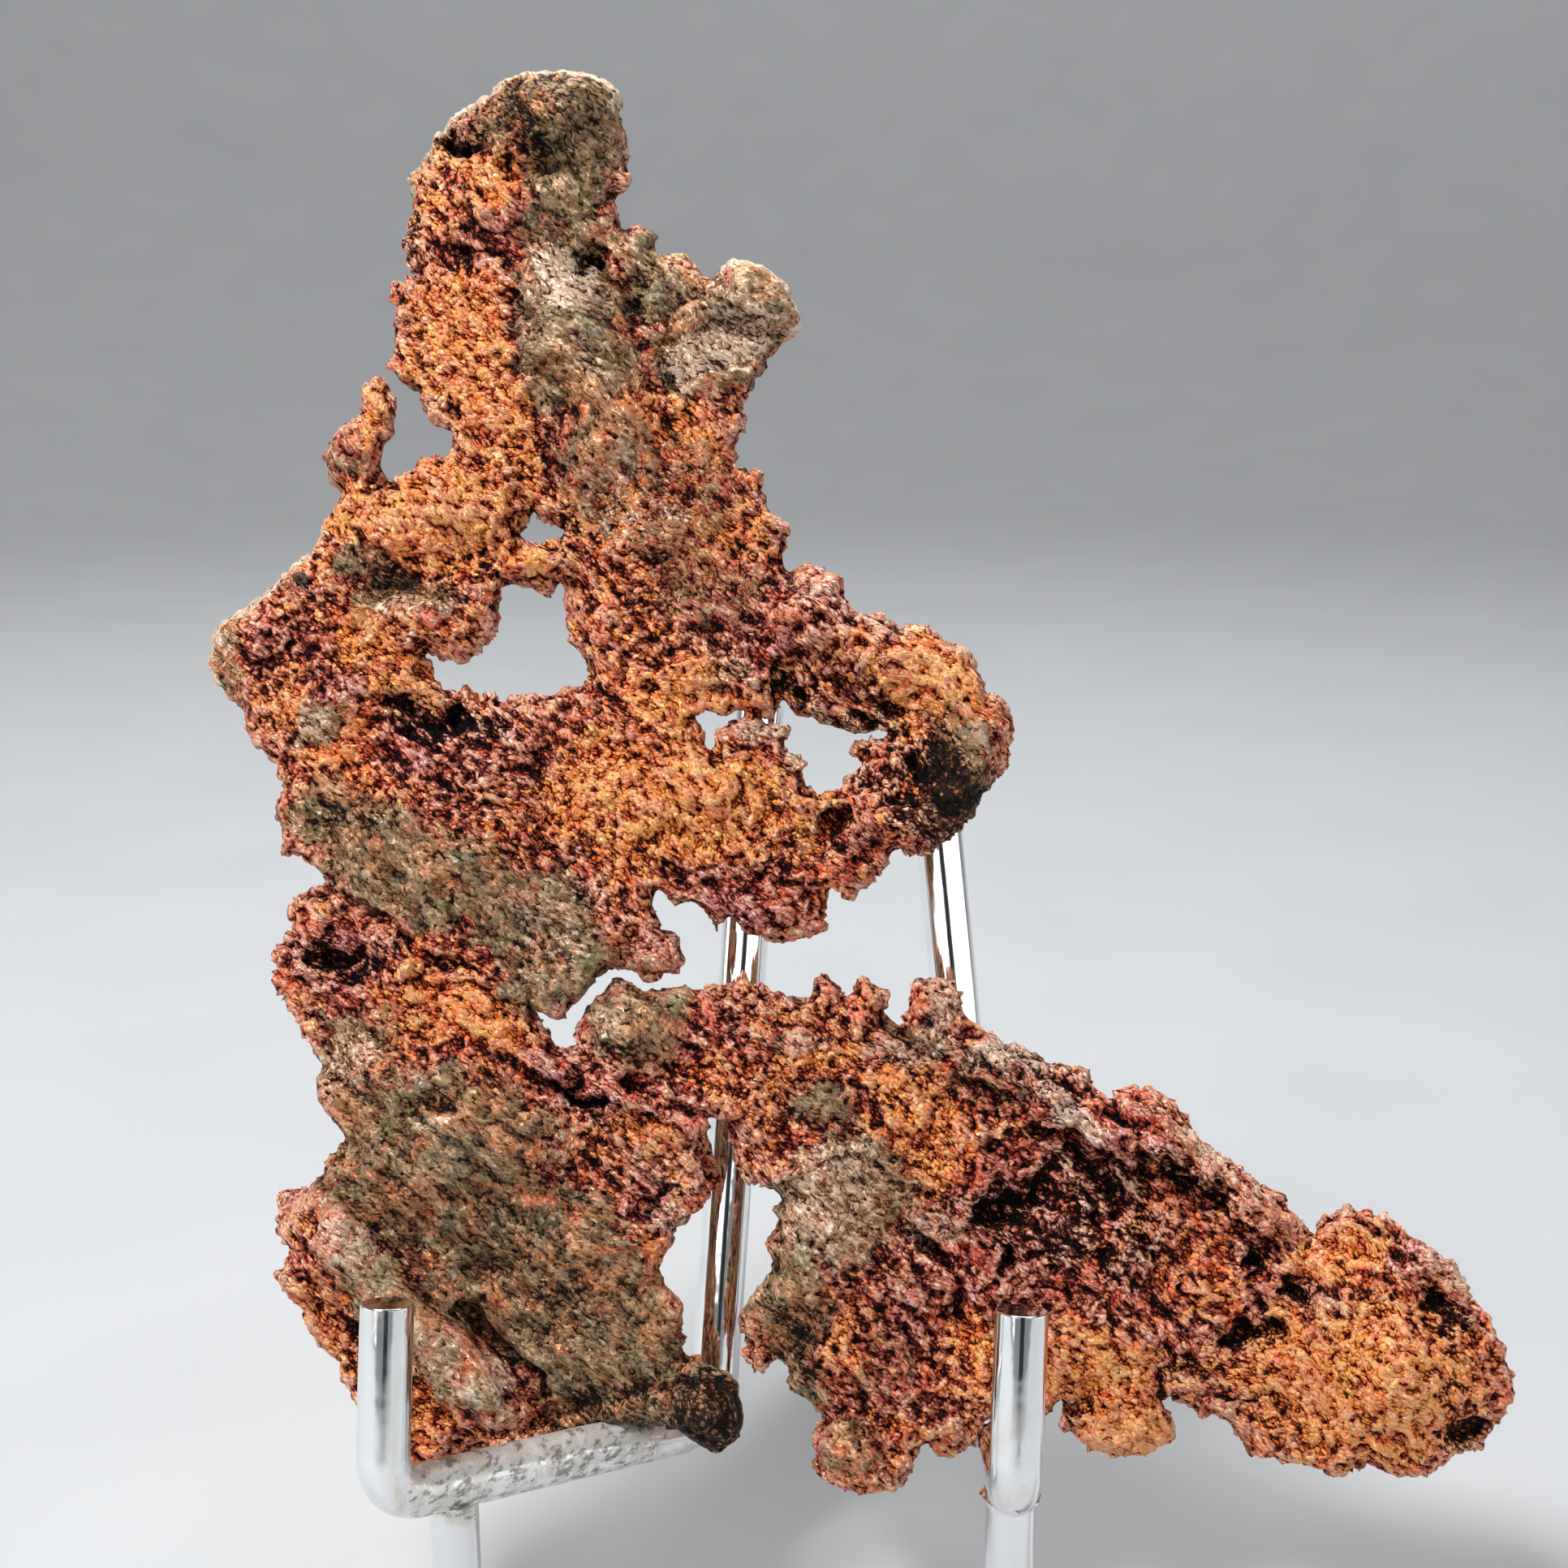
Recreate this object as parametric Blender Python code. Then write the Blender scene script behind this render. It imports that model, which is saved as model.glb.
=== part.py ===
"""Native copper nugget resting in a bent-rod easel.

The nugget is one thin, ragged sheet of native copper, pierced by three
windows and thickened by lumps and rolls. It leans back on two uprights and
its lower edge sits on two arms that turn up into hooks.

Every length in the tables is in millimetres. The nugget and the easel are
drawn in the sheet frame: x to the right, y up the sheet, z out of its front
face, with the origin in the middle of the sheet. The finished pieces are
leaned back, lifted to their height and put with the middle of their
footprint at the world's origin.
"""

import math

import bpy
import numpy as np
from mathutils import Matrix, Vector, geometry, noise

MM = 0.001

# How the sheet stands in the world.
LEAN = math.radians(15.0)
SHEET_HEIGHT = 104.7

# Cross-section of the sheet.
FRONT_THICKNESS = 2.4
BACK_THICKNESS = 2.4
EDGE_ROUNDING = 2.2
THINNEST = 0.35
BACK_LIMIT = 6.5
FRONT_WAVINESS = 0.55
BACK_WAVINESS = 0.8
WAVE_LENGTH = 6.5

# The outline is the shape seen from this far in front of the sheet, so a part
# that is bent forward is drawn in towards the middle by the same share.
OUTLINE_VIEW_DISTANCE = 260.0

# Spacing of the points that carry the relief.
GRID_SPACING = 3.3
EDGE_RING = 0.75
CLEAR_OF_EDGE = 1.7

# Easel rod.
ROD_RADIUS = 3.0
LEG_RADIUS = 2.9
ROD_SIDES = 14
BEND_STEPS = 5
END_ROUNDING = 0.7

# Outline of the sheet, clockwise from the left of its topmost lobe.
HEAD_CROWN = (
    (-46.4, 74.5), (-43.4, 78.0), (-43.5, 78.7), (-41.3, 81.6), (-34.6, 86.2), (-32.1, 87.2),
    (-27.6, 87.6), (-22.8, 86.8), (-21.1, 85.9), (-20.1, 84.6),
)
HEAD_BACK = (
    (-20.6, 82.4), (-20.2, 80.8), (-19.4, 79.8), (-19.4, 76.4), (-18.7, 74.4), (-19.2, 73.3),
    (-20.9, 72.2), (-21.0, 71.0), (-20.3, 70.2), (-19.8, 67.8),
)
SHOULDER_BUMPS = (
    (-18.1, 68.9), (-16.3, 68.5), (-15.5, 67.5), (-16.1, 66.6), (-16.1, 65.4), (-15.1, 64.8),
    (-11.9, 65.5), (-11.0, 63.4), (-10.0, 62.4), (-8.8, 62.1), (-8.0, 62.6), (-8.1, 63.3),
    (-6.7, 63.8),
)
EAR = (
    (-6.6, 64.4), (-4.4, 64.4), (-2.8, 63.7), (-0.1, 61.5), (1.6, 58.6), (2.1, 55.8),
    (-1.3, 53.4), (-2.3, 51.0),
)
TORSO_RIGHT = (
    (-3.7, 49.6), (-4.9, 46.8), (-5.9, 45.8), (-4.7, 44.6), (-5.6, 42.8), (-5.8, 39.1),
    (-5.2, 38.7), (-3.1, 38.8), (-2.2, 37.8), (-2.8, 35.2), (-1.8, 33.5), (0.3, 31.5),
    (0.0, 27.6), (0.4, 25.4),
)
ARM_TOP = (
    (0.8, 26.4), (3.0, 27.7), (4.4, 26.0), (6.7, 25.6), (8.1, 21.8), (8.8, 21.0), (12.2, 20.8),
    (14.4, 18.8), (15.2, 19.5), (16.4, 19.7), (17.9, 19.2), (20.2, 17.0), (22.4, 16.5),
    (23.3, 15.6), (24.8, 11.3), (26.7, 10.8), (27.7, 9.9), (28.1, 8.6),
)
ARM_ELBOW = (
    (27.7, 2.4), (24.7, -0.4), (23.0, -3.9), (21.6, -5.7), (17.6, -8.6), (13.2, -8.3),
    (12.7, -8.7), (12.2, -10.9),
)
HIP = (
    (8.4, -13.9), (6.4, -12.9), (5.4, -13.1), (4.9, -17.7), (3.9, -18.4), (0.9, -19.2),
    (-2.1, -19.4), (-3.2, -19.1), (-3.9, -18.1), (-5.8, -17.6), (-6.3, -16.6), (-7.1, -16.6),
    (-8.0, -18.1), (-8.8, -17.7), (-10.9, -14.5),
)
HIP_UNDERSIDE = (
    (-12.7, -15.0), (-13.8, -14.7), (-15.0, -13.1), (-15.7, -12.9), (-16.2, -15.4),
    (-15.3, -17.1), (-15.7, -18.3), (-14.2, -18.1), (-13.3, -18.5), (-12.7, -19.2),
    (-12.4, -22.1), (-13.0, -22.7), (-16.6, -24.0), (-18.1, -22.8), (-20.3, -22.3),
    (-22.6, -23.6), (-25.2, -26.9), (-26.3, -27.4), (-27.1, -29.1), (-28.0, -29.1),
    (-30.6, -27.0), (-31.5, -27.1),
)
SEAM = (
    (-27.5, -33.0), (-26.8, -33.3), (-25.1, -32.0), (-25.4, -30.3), (-24.3, -27.9),
    (-21.2, -24.3), (-20.4, -24.1), (-19.4, -24.2), (-17.8, -25.5),
)
LEG_CREST = (
    (-15.4, -25.6), (-12.2, -24.5), (-10.8, -25.5), (-9.1, -24.6), (-3.1, -24.4), (-2.3, -25.2),
    (1.6, -26.5), (2.6, -25.9), (3.4, -26.2), (4.0, -24.3), (4.9, -23.8), (7.0, -24.8),
    (6.7, -25.5), (7.0, -26.6), (8.7, -25.9), (9.0, -24.3), (9.6, -23.8), (10.5, -24.1),
    (11.6, -25.5), (12.6, -25.5), (12.9, -26.1), (12.0, -28.1), (13.8, -30.4), (15.2, -28.9),
)
CREST_PEAK = (
    (15.8, -25.1), (16.4, -24.1), (19.2, -24.0), (20.9, -25.4), (22.2, -27.6), (25.8, -31.6),
    (31.4, -33.6),
)
CALF = (
    (33.2, -34.9), (34.2, -34.5), (36.7, -35.1), (37.8, -37.2), (39.7, -38.8), (40.6, -39.1),
    (41.8, -37.8), (42.7, -37.5), (43.7, -38.1), (45.4, -38.0), (46.4, -38.5), (49.6, -40.8),
    (51.6, -44.7), (52.8, -45.8), (55.8, -48.0), (60.6, -50.6), (65.2, -55.6),
)
TOE_TOP = (
    (66.0, -53.8), (68.0, -52.6), (69.4, -52.5), (75.2, -54.0), (78.0, -56.7), (80.8, -57.9),
    (82.0, -58.9), (84.1, -62.7), (88.4, -68.8),
)
TOE_TIP = (
    (89.4, -72.4), (88.9, -75.9), (87.7, -78.9), (85.4, -81.5), (79.2, -84.7), (75.4, -85.4),
    (72.2, -83.8), (68.1, -85.1), (63.6, -83.5), (58.6, -82.9), (57.4, -82.3),
)
SOLE = (
    (54.1, -78.2), (53.2, -77.8), (52.2, -78.2), (46.8, -75.3), (46.5, -76.1), (48.1, -79.0),
    (47.5, -80.8), (43.8, -82.6), (40.8, -82.8), (36.6, -80.5), (34.4, -78.4), (33.9, -77.3),
    (34.5, -76.7), (37.2, -76.5), (35.2, -75.5), (33.5, -76.3), (32.5, -77.9),
)
HEEL = (
    (29.2, -77.2), (26.0, -77.2), (24.8, -78.2), (23.7, -80.7), (22.0, -82.2), (19.4, -82.5),
    (18.4, -82.2), (17.4, -80.9), (15.9, -84.2), (13.6, -87.4), (8.9, -87.1), (4.8, -85.6),
    (3.0, -84.2), (4.2, -81.9), (3.8, -79.4), (5.3, -77.3),
)
INNER_BANK = (
    (0.9, -74.7), (0.6, -73.7), (0.9, -71.6), (0.4, -71.0), (-1.6, -70.9), (-3.6, -72.0),
    (-5.3, -70.3), (-4.1, -69.5), (-4.2, -68.6), (-5.8, -66.9), (-5.4, -64.9), (-1.7, -59.8),
    (-1.5, -58.9), (-2.6, -56.4), (-0.6, -54.2), (-0.5, -53.3), (-1.4, -52.9), (-1.4, -52.2),
    (-0.5, -51.8), (-0.3, -50.9), (-0.5, -50.1), (-3.1, -49.0), (-5.0, -47.6), (-6.1, -45.4),
    (-6.4, -42.6),
)
SHIN_GAP = (
    (-7.5, -40.7), (-8.6, -40.2), (-9.4, -40.8), (-9.4, -42.0), (-7.3, -49.3), (-9.8, -51.2),
    (-11.0, -53.0), (-13.4, -54.9), (-13.8, -56.9), (-15.5, -59.4), (-14.8, -61.6),
    (-12.8, -64.6), (-12.3, -70.4), (-10.0, -70.8), (-9.9, -72.0),
)
TAB = (
    (-7.1, -72.4), (-5.6, -73.9), (-5.1, -78.1), (-5.7, -80.2), (-6.4, -81.0), (-8.2, -82.5),
    (-9.1, -82.3), (-12.4, -79.6), (-13.8, -77.4), (-14.7, -77.2),
)
PLATE_FOOT = (
    (-16.8, -77.7), (-21.4, -77.7), (-28.6, -81.0), (-42.6, -83.6), (-45.6, -83.7),
    (-48.1, -82.6), (-50.4, -80.4),
)
PLATE_LEFT = (
    (-54.5, -73.1), (-54.7, -71.7), (-57.4, -68.4), (-59.8, -63.6), (-62.5, -60.7),
    (-61.9, -58.6), (-60.4, -57.2), (-61.4, -55.0), (-61.5, -53.9), (-60.9, -52.3),
    (-59.7, -50.9), (-56.5, -48.7), (-56.2, -46.4), (-54.0, -43.9),
)
PLATE_WAIST = (
    (-55.0, -41.6), (-56.4, -40.4), (-57.3, -38.6), (-57.3, -36.7), (-56.7, -34.9),
    (-58.0, -33.7), (-59.6, -29.2), (-62.7, -24.6), (-62.4, -20.9), (-61.3, -18.7),
    (-60.4, -18.2), (-60.7, -15.2), (-59.4, -13.4), (-57.1, -12.7), (-55.8, -11.4),
)
WAIST_BUMP = (
    (-58.4, -9.2), (-61.9, -9.0), (-61.6, -6.7), (-62.8, -3.2), (-61.9, -1.9), (-62.0, 2.8),
    (-62.8, 3.0), (-66.1, 6.5), (-66.5, 7.3),
)
KNOB = (
    (-66.4, 9.0), (-70.2, 12.8), (-70.8, 14.8), (-70.2, 18.2), (-69.1, 20.0), (-62.5, 24.4),
)
LOBE_LEFT = (
    (-61.0, 26.3), (-58.4, 28.3), (-56.8, 30.5), (-56.0, 33.8), (-54.7, 34.9), (-54.3, 36.2),
    (-55.8, 37.2),
)
HORN = (
    (-56.6, 40.4), (-55.0, 43.3), (-52.4, 44.8), (-51.7, 46.3), (-51.7, 48.6), (-50.8, 50.2),
    (-50.2, 50.4), (-49.6, 49.7), (-48.0, 46.8), (-48.1, 43.1), (-49.3, 41.7), (-49.7, 39.5),
    (-48.4, 36.0), (-47.6, 38.3),
)
ARMPIT = (
    (-45.5, 38.4), (-44.8, 40.1), (-44.1, 40.6), (-43.4, 40.9), (-41.6, 40.2), (-40.9, 40.6),
    (-40.5, 41.8), (-40.9, 43.9), (-42.8, 44.3), (-43.6, 45.0), (-44.7, 46.9), (-44.6, 47.9),
    (-45.2, 48.6), (-46.9, 49.2),
)
TORSO_LEFT = (
    (-48.7, 51.6), (-47.9, 53.1), (-48.2, 55.1), (-47.9, 55.9), (-48.6, 56.5), (-47.2, 58.6),
    (-48.4, 59.6), (-48.4, 61.4), (-47.6, 61.6), (-46.9, 61.2), (-44.8, 62.6), (-45.8, 64.1),
    (-46.2, 66.1), (-46.5, 69.4), (-45.7, 71.4), (-45.7, 73.4),
)
SMALL_WINDOW = (
    (-32.7, 29.6), (-30.6, 29.3), (-27.1, 30.3), (-27.0, 31.9), (-28.6, 32.1), (-30.1, 33.2),
    (-30.3, 33.9),
)
LARGE_WINDOW = (
    (-35.2, 22.4), (-35.2, 24.2), (-34.6, 23.9), (-33.2, 24.8), (-32.4, 24.7), (-30.6, 24.0),
    (-29.4, 22.9), (-28.6, 23.1), (-27.5, 25.0), (-26.8, 25.2), (-26.7, 23.8), (-27.2, 22.4),
    (-26.6, 20.0), (-26.6, 17.6), (-24.1, 14.2), (-23.9, 12.4), (-26.4, 11.9), (-29.4, 10.6),
    (-33.8, 10.4), (-35.4, 9.8), (-35.2, 10.8), (-35.9, 11.3), (-36.8, 11.3), (-37.7, 9.8),
    (-38.8, 12.1), (-40.0, 13.1), (-39.6, 11.5), (-40.4, 11.0), (-41.8, 11.6), (-44.6, 16.2),
    (-42.6, 16.1), (-39.8, 15.0), (-36.6, 17.3), (-35.3, 18.8),
)
RING_WINDOW = (
    (-10.9, 8.8), (-9.8, 9.1), (-7.6, 8.3), (-5.6, 9.2), (-1.1, 8.0), (0.3, 10.6), (1.3, 8.4),
    (3.4, 8.3), (6.2, 6.9), (12.4, 6.6), (13.3, 6.1), (13.1, 5.4), (12.3, 5.0), (11.4, 5.4),
    (8.6, 5.2), (8.2, 4.4), (8.4, 3.6), (10.0, 3.2), (7.4, 0.1), (5.2, -1.6), (2.0, 0.8),
    (3.1, 2.0), (3.1, 2.9), (-0.5, 4.7), (0.8, 6.3), (0.4, 7.0), (-2.8, 7.3), (-4.4, 8.2),
    (-5.2, 8.0), (-7.9, 6.8), (-8.4, 5.9), (-8.2, 5.0), (-9.1, 3.8),
)
KNOB_EYELET = (
    (-59.6, 25.4), (-59.0, 25.7), (-58.5, 25.4), (-58.1, 24.8), (-58.3, 24.2), (-59.6, 24.7),
)

OUTLINE = (
    HEAD_CROWN + HEAD_BACK + SHOULDER_BUMPS + EAR + TORSO_RIGHT + ARM_TOP + ARM_ELBOW + HIP
    + HIP_UNDERSIDE + SEAM + LEG_CREST + CREST_PEAK + CALF + TOE_TOP + TOE_TIP + SOLE + HEEL
    + INNER_BANK + SHIN_GAP + TAB + PLATE_FOOT + PLATE_LEFT + PLATE_WAIST + WAIST_BUMP + KNOB
    + LOBE_LEFT + HORN + ARMPIT + TORSO_LEFT
)
WINDOWS = (SMALL_WINDOW, LARGE_WINDOW, RING_WINDOW, KNOB_EYELET)

# Lumps and hollows: x, y, half length, half width, turn in degrees, height.
# A hollow has a negative height.
FRONT_LUMPS = (
    # topmost lobe, with a hollow under its brow
    (-28.6, 81.6, 11.0, 7.0, 10, 2.4),
    (-39.1, 77.6, 3.6, 2.4, 0, -2.8),
    (-31.0, 76.0, 6.0, 1.9, -5, -2.0),
    # pitted neck
    (-45.1, 72.3, 2.2, 2.0, 0, -2.0),
    (-44.9, 68.9, 2.6, 2.2, 0, -2.4),
    (-38.1, 65.1, 2.6, 1.8, 0, -1.5),
    (-37.0, 70.0, 5.0, 4.0, 0, 1.6),
    # hollows beside the neck and the ear-shaped lobe
    (-23.6, 64.1, 3.0, 2.2, -20, -2.2),
    (-19.6, 60.1, 3.0, 2.2, 0, -1.8),
    (-3.5, 59.5, 6.0, 4.5, -40, 2.2),
    (-5.0, 55.2, 6.0, 1.9, -15, -2.0),
    # trunk
    (-26.0, 50.0, 16.0, 11.0, -60, 2.2),
    (-38.0, 51.0, 7.0, 10.0, 0, 1.1),
    (-13.0, 49.0, 8.0, 5.0, -20, 1.1),
    (-8.0, 42.0, 5.0, 7.0, 0, 1.1),
    # left lobe and the nub that bridges the windows
    (-43.5, 33.0, 12.0, 7.0, 0, 2.7),
    (-48.0, 25.0, 7.0, 2.6, 0, -2.2),
    (-46.0, 20.5, 9.0, 4.0, 0, 1.4),
    (-30.0, 28.0, 4.0, 3.0, 0, 1.9),
    # left knob
    (-65.0, 17.0, 6.0, 6.0, 0, 2.2),
    (-68.5, 14.5, 1.8, 3.5, 0, -1.5),
    (-56.0, 11.0, 9.0, 5.0, 0, 1.6),
    # middle of the sheet
    (-42.5, 7.0, 8.0, 3.6, -20, -2.8),
    (-43.0, -8.0, 17.0, 10.0, -15, 2.2),
    (1.0, 12.5, 2.8, 2.8, 0, -2.2),
    (6.5, -5.5, 3.6, 3.0, 0, -2.0),
    (-11.0, -1.0, 18.0, 6.0, 0, 1.9),
    (0.0, -16.0, 8.0, 4.0, 0, 1.4),
    (-14.5, -21.0, 4.0, 4.0, 0, 1.1),
    # torn waist on the left
    (-53.5, -21.5, 7.0, 3.2, -15, -2.5),
    (-47.0, -19.5, 5.0, 2.2, -35, 2.4),
    (-37.0, -28.0, 8.0, 5.0, -35, 1.4),
    # large plate at the lower left
    (-40.0, -43.0, 18.0, 15.0, 0, 2.4),
    (-42.5, -37.5, 3.2, 2.0, 0, -1.5),
    (-38.0, -58.0, 8.0, 3.4, -30, -1.5),
    (-60.5, -59.5, 4.0, 4.0, 0, 1.4),
    (-20.0, -70.0, 7.0, 4.0, 0, 1.1),
    (-8.5, -77.5, 4.0, 4.0, 0, 1.1),
    # top of the right-hand part
    (-19.5, -30.5, 7.0, 5.0, 0, 2.4),
    (-24.0, -37.0, 4.0, 1.9, -30, -2.4),
    (-2.0, -33.0, 8.0, 5.0, 0, 1.1),
    (4.8, -25.0, 2.6, 2.6, 0, 1.6),
    (10.5, -26.0, 3.0, 2.4, 0, 1.6),
    (17.8, -27.0, 3.6, 4.0, 0, 1.9),
    (4.0, -55.0, 9.0, 12.0, 0, 2.4),
    # rough cavity of the right-hand part
    (28.5, -51.5, 7.5, 3.2, 25, -2.5),
    (33.0, -54.0, 10.0, 6.0, 0, -1.2),
    (39.0, -49.0, 2.8, 3.6, 0, -1.9),
    (50.0, -49.2, 6.5, 1.9, -25, -2.5),
    (58.0, -58.0, 2.4, 2.2, 0, -2.2),
    (62.5, -61.5, 2.4, 2.0, 0, -2.1),
    (57.5, -67.5, 4.0, 2.2, 0, -2.0),
    (38.0, -68.0, 12.0, 6.0, 0, 1.4),
    # rounded end at the lower right, with a rolled rim
    (72.0, -72.0, 14.0, 11.0, 0, 3.2),
    (79.0, -58.6, 5.5, 2.4, -45, 2.7),
    (79.0, -64.0, 2.8, 2.0, -30, -2.4),
    (80.5, -72.5, 2.0, 1.5, -10, -1.5),
    (83.5, -79.0, 3.2, 2.6, 0, -1.5),
    # lobes along the lower edge
    (41.0, -78.0, 6.0, 3.2, -10, 1.2),
    (9.0, -83.0, 5.0, 4.0, 0, 1.6),
    (20.0, -78.5, 4.0, 3.0, 0, 1.1),
)
BACK_LUMPS = (
    # the two lumps that lean on the uprights
    (-3.4, 6.0, 5.0, 8.0, 0, 4.6),
    (19.4, -1.5, 5.0, 6.0, 0, 4.6),
    # broad swellings and dents elsewhere
    (-30.0, 74.0, 9.0, 11.0, 20, 2.3),
    (-26.0, 44.0, 9.0, 13.0, 25, 1.8),
    (-48.0, 30.0, 10.0, 7.0, 0, 2.0),
    (-62.0, 12.0, 8.0, 8.0, 0, 2.1),
    (-36.0, 2.0, 9.0, 5.0, -15, -1.4),
    (-44.0, -14.0, 13.0, 7.0, -10, 2.0),
    (-42.0, -46.0, 15.0, 12.0, 0, 2.1),
    (-46.0, -66.0, 9.0, 6.0, -40, -1.3),
    (-24.0, -55.0, 6.0, 9.0, 0, -1.2),
    (44.0, -57.0, 13.0, 7.0, -30, 2.9),
    (71.0, -70.0, 12.0, 9.0, 0, 2.3),
    (12.0, -70.0, 8.0, 7.0, 0, 1.6),
)

# Rolls and cracks: points along the line, half width, height.
FRONT_RIDGES = (
    # smooth stripe down the trunk
    (((-30.0, 63.0), (-20.5, 47.0), (-16.0, 32.0)), 5.5, 1.8),
    # thick roll around the ring-shaped lobe
    (((2.0, 20.5), (11.5, 16.5), (19.4, 11.5), (23.3, 6.0), (22.0, -1.0), (17.0, -5.5),
      (11.5, -4.5)), 5.5, 3.4),
    # strap lying across the large plate, and the crack beside it
    (((-56.6, -51.0), (-50.0, -59.0), (-40.6, -68.5), (-33.0, -77.0)), 4.2, 2.9),
    (((-38.6, -65.0), (-34.5, -70.5), (-30.6, -74.5)), 1.9, -2.6),
    # crest along the upper right edge
    (((26.5, -34.5), (36.5, -40.5), (43.5, -42.5), (50.5, -45.8), (59.0, -52.0)), 3.2, 2.9),
    # folds where the two parts meet
    (((-27.6, -34.2), (-18.0, -38.6), (-9.5, -42.5)), 2.8, 1.8),
    (((-0.6, -48.5), (4.0, -47.0), (9.4, -45.5)), 2.2, 1.3),
    (((16.0, -56.5), (20.5, -59.5), (23.0, -66.0)), 1.9, -2.1),
)

# Where the whole sheet is bent out of its plane, as lumps are given. A bend
# to the back is negative.
BENDS = (
    (-28.0, 84.0, 20.0, 22.0, 0, 3.0),
    (-51.0, 45.0, 7.0, 11.0, 0, 2.0),
    (-70.0, 14.0, 16.0, 16.0, 0, -2.0),
    (0.0, 58.0, 10.0, 9.0, -40, 1.5),
    (84.0, -70.0, 26.0, 24.0, 0, 4.0),
    (-8.5, -78.0, 9.0, 9.0, 0, 4.0),
    (-30.0, -79.5, 12.0, 7.5, 10, -2.6),
    (-66.0, -60.0, 9.0, 9.0, 0, 1.8),
)

# Easel, in the sheet frame: bends of the one long rod from hook to hook.
ARM_REAR = -10.0
ARM_FRONT = 25.0
HOOK_BEND = 5.0
CORNER_BEND = 6.0
ARCH_BEND = 9.0
EASEL_ROD = (
    # x, y, z, bend radius
    (-44.2, -57.8, ARM_FRONT, 0.0),
    (-44.8, -79.6, ARM_FRONT, HOOK_BEND),
    (-9.2, -81.6, ARM_REAR, CORNER_BEND),
    (-2.5, 17.2, ARM_REAR, ARCH_BEND),
    (17.5, 17.2, ARM_REAR, ARCH_BEND),
    (27.2, -81.6, ARM_REAR, CORNER_BEND),
    (25.7, -79.6, ARM_FRONT, HOOK_BEND),
    (26.5, -58.6, ARM_FRONT, 0.0),
)
CROSS_BAR = ((-7.1, -46.2, -12.0), (24.1, -46.2, -12.0))
LEG_TOPS = ((-38.0, -80.0, 18.4), (26.0, -80.0, 18.4))
REAR_LEG_TOP = (8.5, -46.2, -12.0)
REAR_LEG_REACH = 45.0
REAR_FOOT_HEIGHT = 8.0
REAR_FOOT_BEND = 6.0

COPPER_COLOUR = (0.42, 0.19, 0.11, 1.0)
CHROME_COLOUR = (0.78, 0.79, 0.80, 1.0)


def material(name, colour, roughness):
    """Return a metal with the given colour and roughness."""
    made = bpy.data.materials.new(name)
    made.use_nodes = True
    shader = made.node_tree.nodes["Principled BSDF"]
    shader.inputs["Base Color"].default_value = colour
    shader.inputs["Roughness"].default_value = roughness
    shader.inputs["Metallic"].default_value = 1.0
    made.diffuse_color = colour
    return made


def mesh_object(name, points, faces, surface):
    """Make an object from points in metres and faces, shaded smooth."""
    mesh = bpy.data.meshes.new(name)
    mesh.from_pydata([tuple(point) for point in points], [], faces)
    mesh.materials.append(surface)
    mesh.shade_smooth()
    made = bpy.data.objects.new(name, mesh)
    bpy.context.scene.collection.objects.link(made)
    return made


def sheet_to_world(point):
    """Turn a point of the sheet frame, in millimetres, into world metres."""
    lift = Matrix.Translation((0.0, 0.0, SHEET_HEIGHT))
    stand_up = Matrix.Rotation(math.radians(90.0) - LEAN, 4, "X")
    return (lift @ stand_up @ Vector(point)) * MM


def edge_distances(points, loops):
    """Return how far each point is from the nearest stretch of any loop."""
    nearest = np.full(len(points), np.inf)
    for loop in loops:
        starts = np.array(loop)
        ends = np.roll(starts, -1, axis=0)
        for start, end in zip(starts, ends):
            along = end - start
            share = np.clip((points - start) @ along / (along @ along), 0.0, 1.0)
            offset = points - start - share[:, None] * along
            nearest = np.minimum(nearest, np.hypot(offset[:, 0], offset[:, 1]))
    return nearest


def inside(points, loops):
    """Say which points lie in the outline and in none of its windows."""
    odd = np.zeros(len(points), dtype=bool)
    for loop in loops:
        starts = np.array(loop)
        ends = np.roll(starts, -1, axis=0)
        for (x0, y0), (x1, y1) in zip(starts, ends):
            if y0 == y1:
                continue
            spans = (points[:, 1] < y0) != (points[:, 1] < y1)
            crossing = x0 + (points[:, 1] - y0) / (y1 - y0) * (x1 - x0)
            odd ^= spans & (points[:, 0] < crossing)
    return odd


def grid_points(loops):
    """Return a triangular grid of points well inside the outline."""
    low = np.min(loops[0], axis=0)
    high = np.max(loops[0], axis=0)
    rows = np.arange(low[1], high[1], GRID_SPACING * math.sin(math.radians(60.0)))
    points = []
    for number, y in enumerate(rows):
        shift = GRID_SPACING / 2 * (number % 2)
        points += [(x + shift, y) for x in np.arange(low[0], high[0], GRID_SPACING)]
    points = np.array(points)
    keep = inside(points, loops)
    keep &= edge_distances(points, loops) > CLEAR_OF_EDGE
    return points[keep]


def ring_points(loops):
    """Return points just inside every loop, which round the sheet's edge."""
    points = []
    for loop in loops:
        corners = np.array(loop)
        before = np.roll(corners, 1, axis=0)
        after = np.roll(corners, -1, axis=0)
        along = after - before
        length = np.hypot(along[:, 0], along[:, 1])[:, None]
        across = np.column_stack((along[:, 1], -along[:, 0])) / length
        for side in (-1.0, 1.0):
            shifted = corners + side * EDGE_RING * across
            keep = inside(shifted, loops)
            keep &= edge_distances(shifted, loops) > EDGE_RING * 0.75
            points += list(shifted[keep])
    spaced = []
    for point in points:
        if all(math.dist(point, other) > EDGE_RING * 0.6 for other in spaced):
            spaced.append(point)
    return np.array(spaced)


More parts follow.
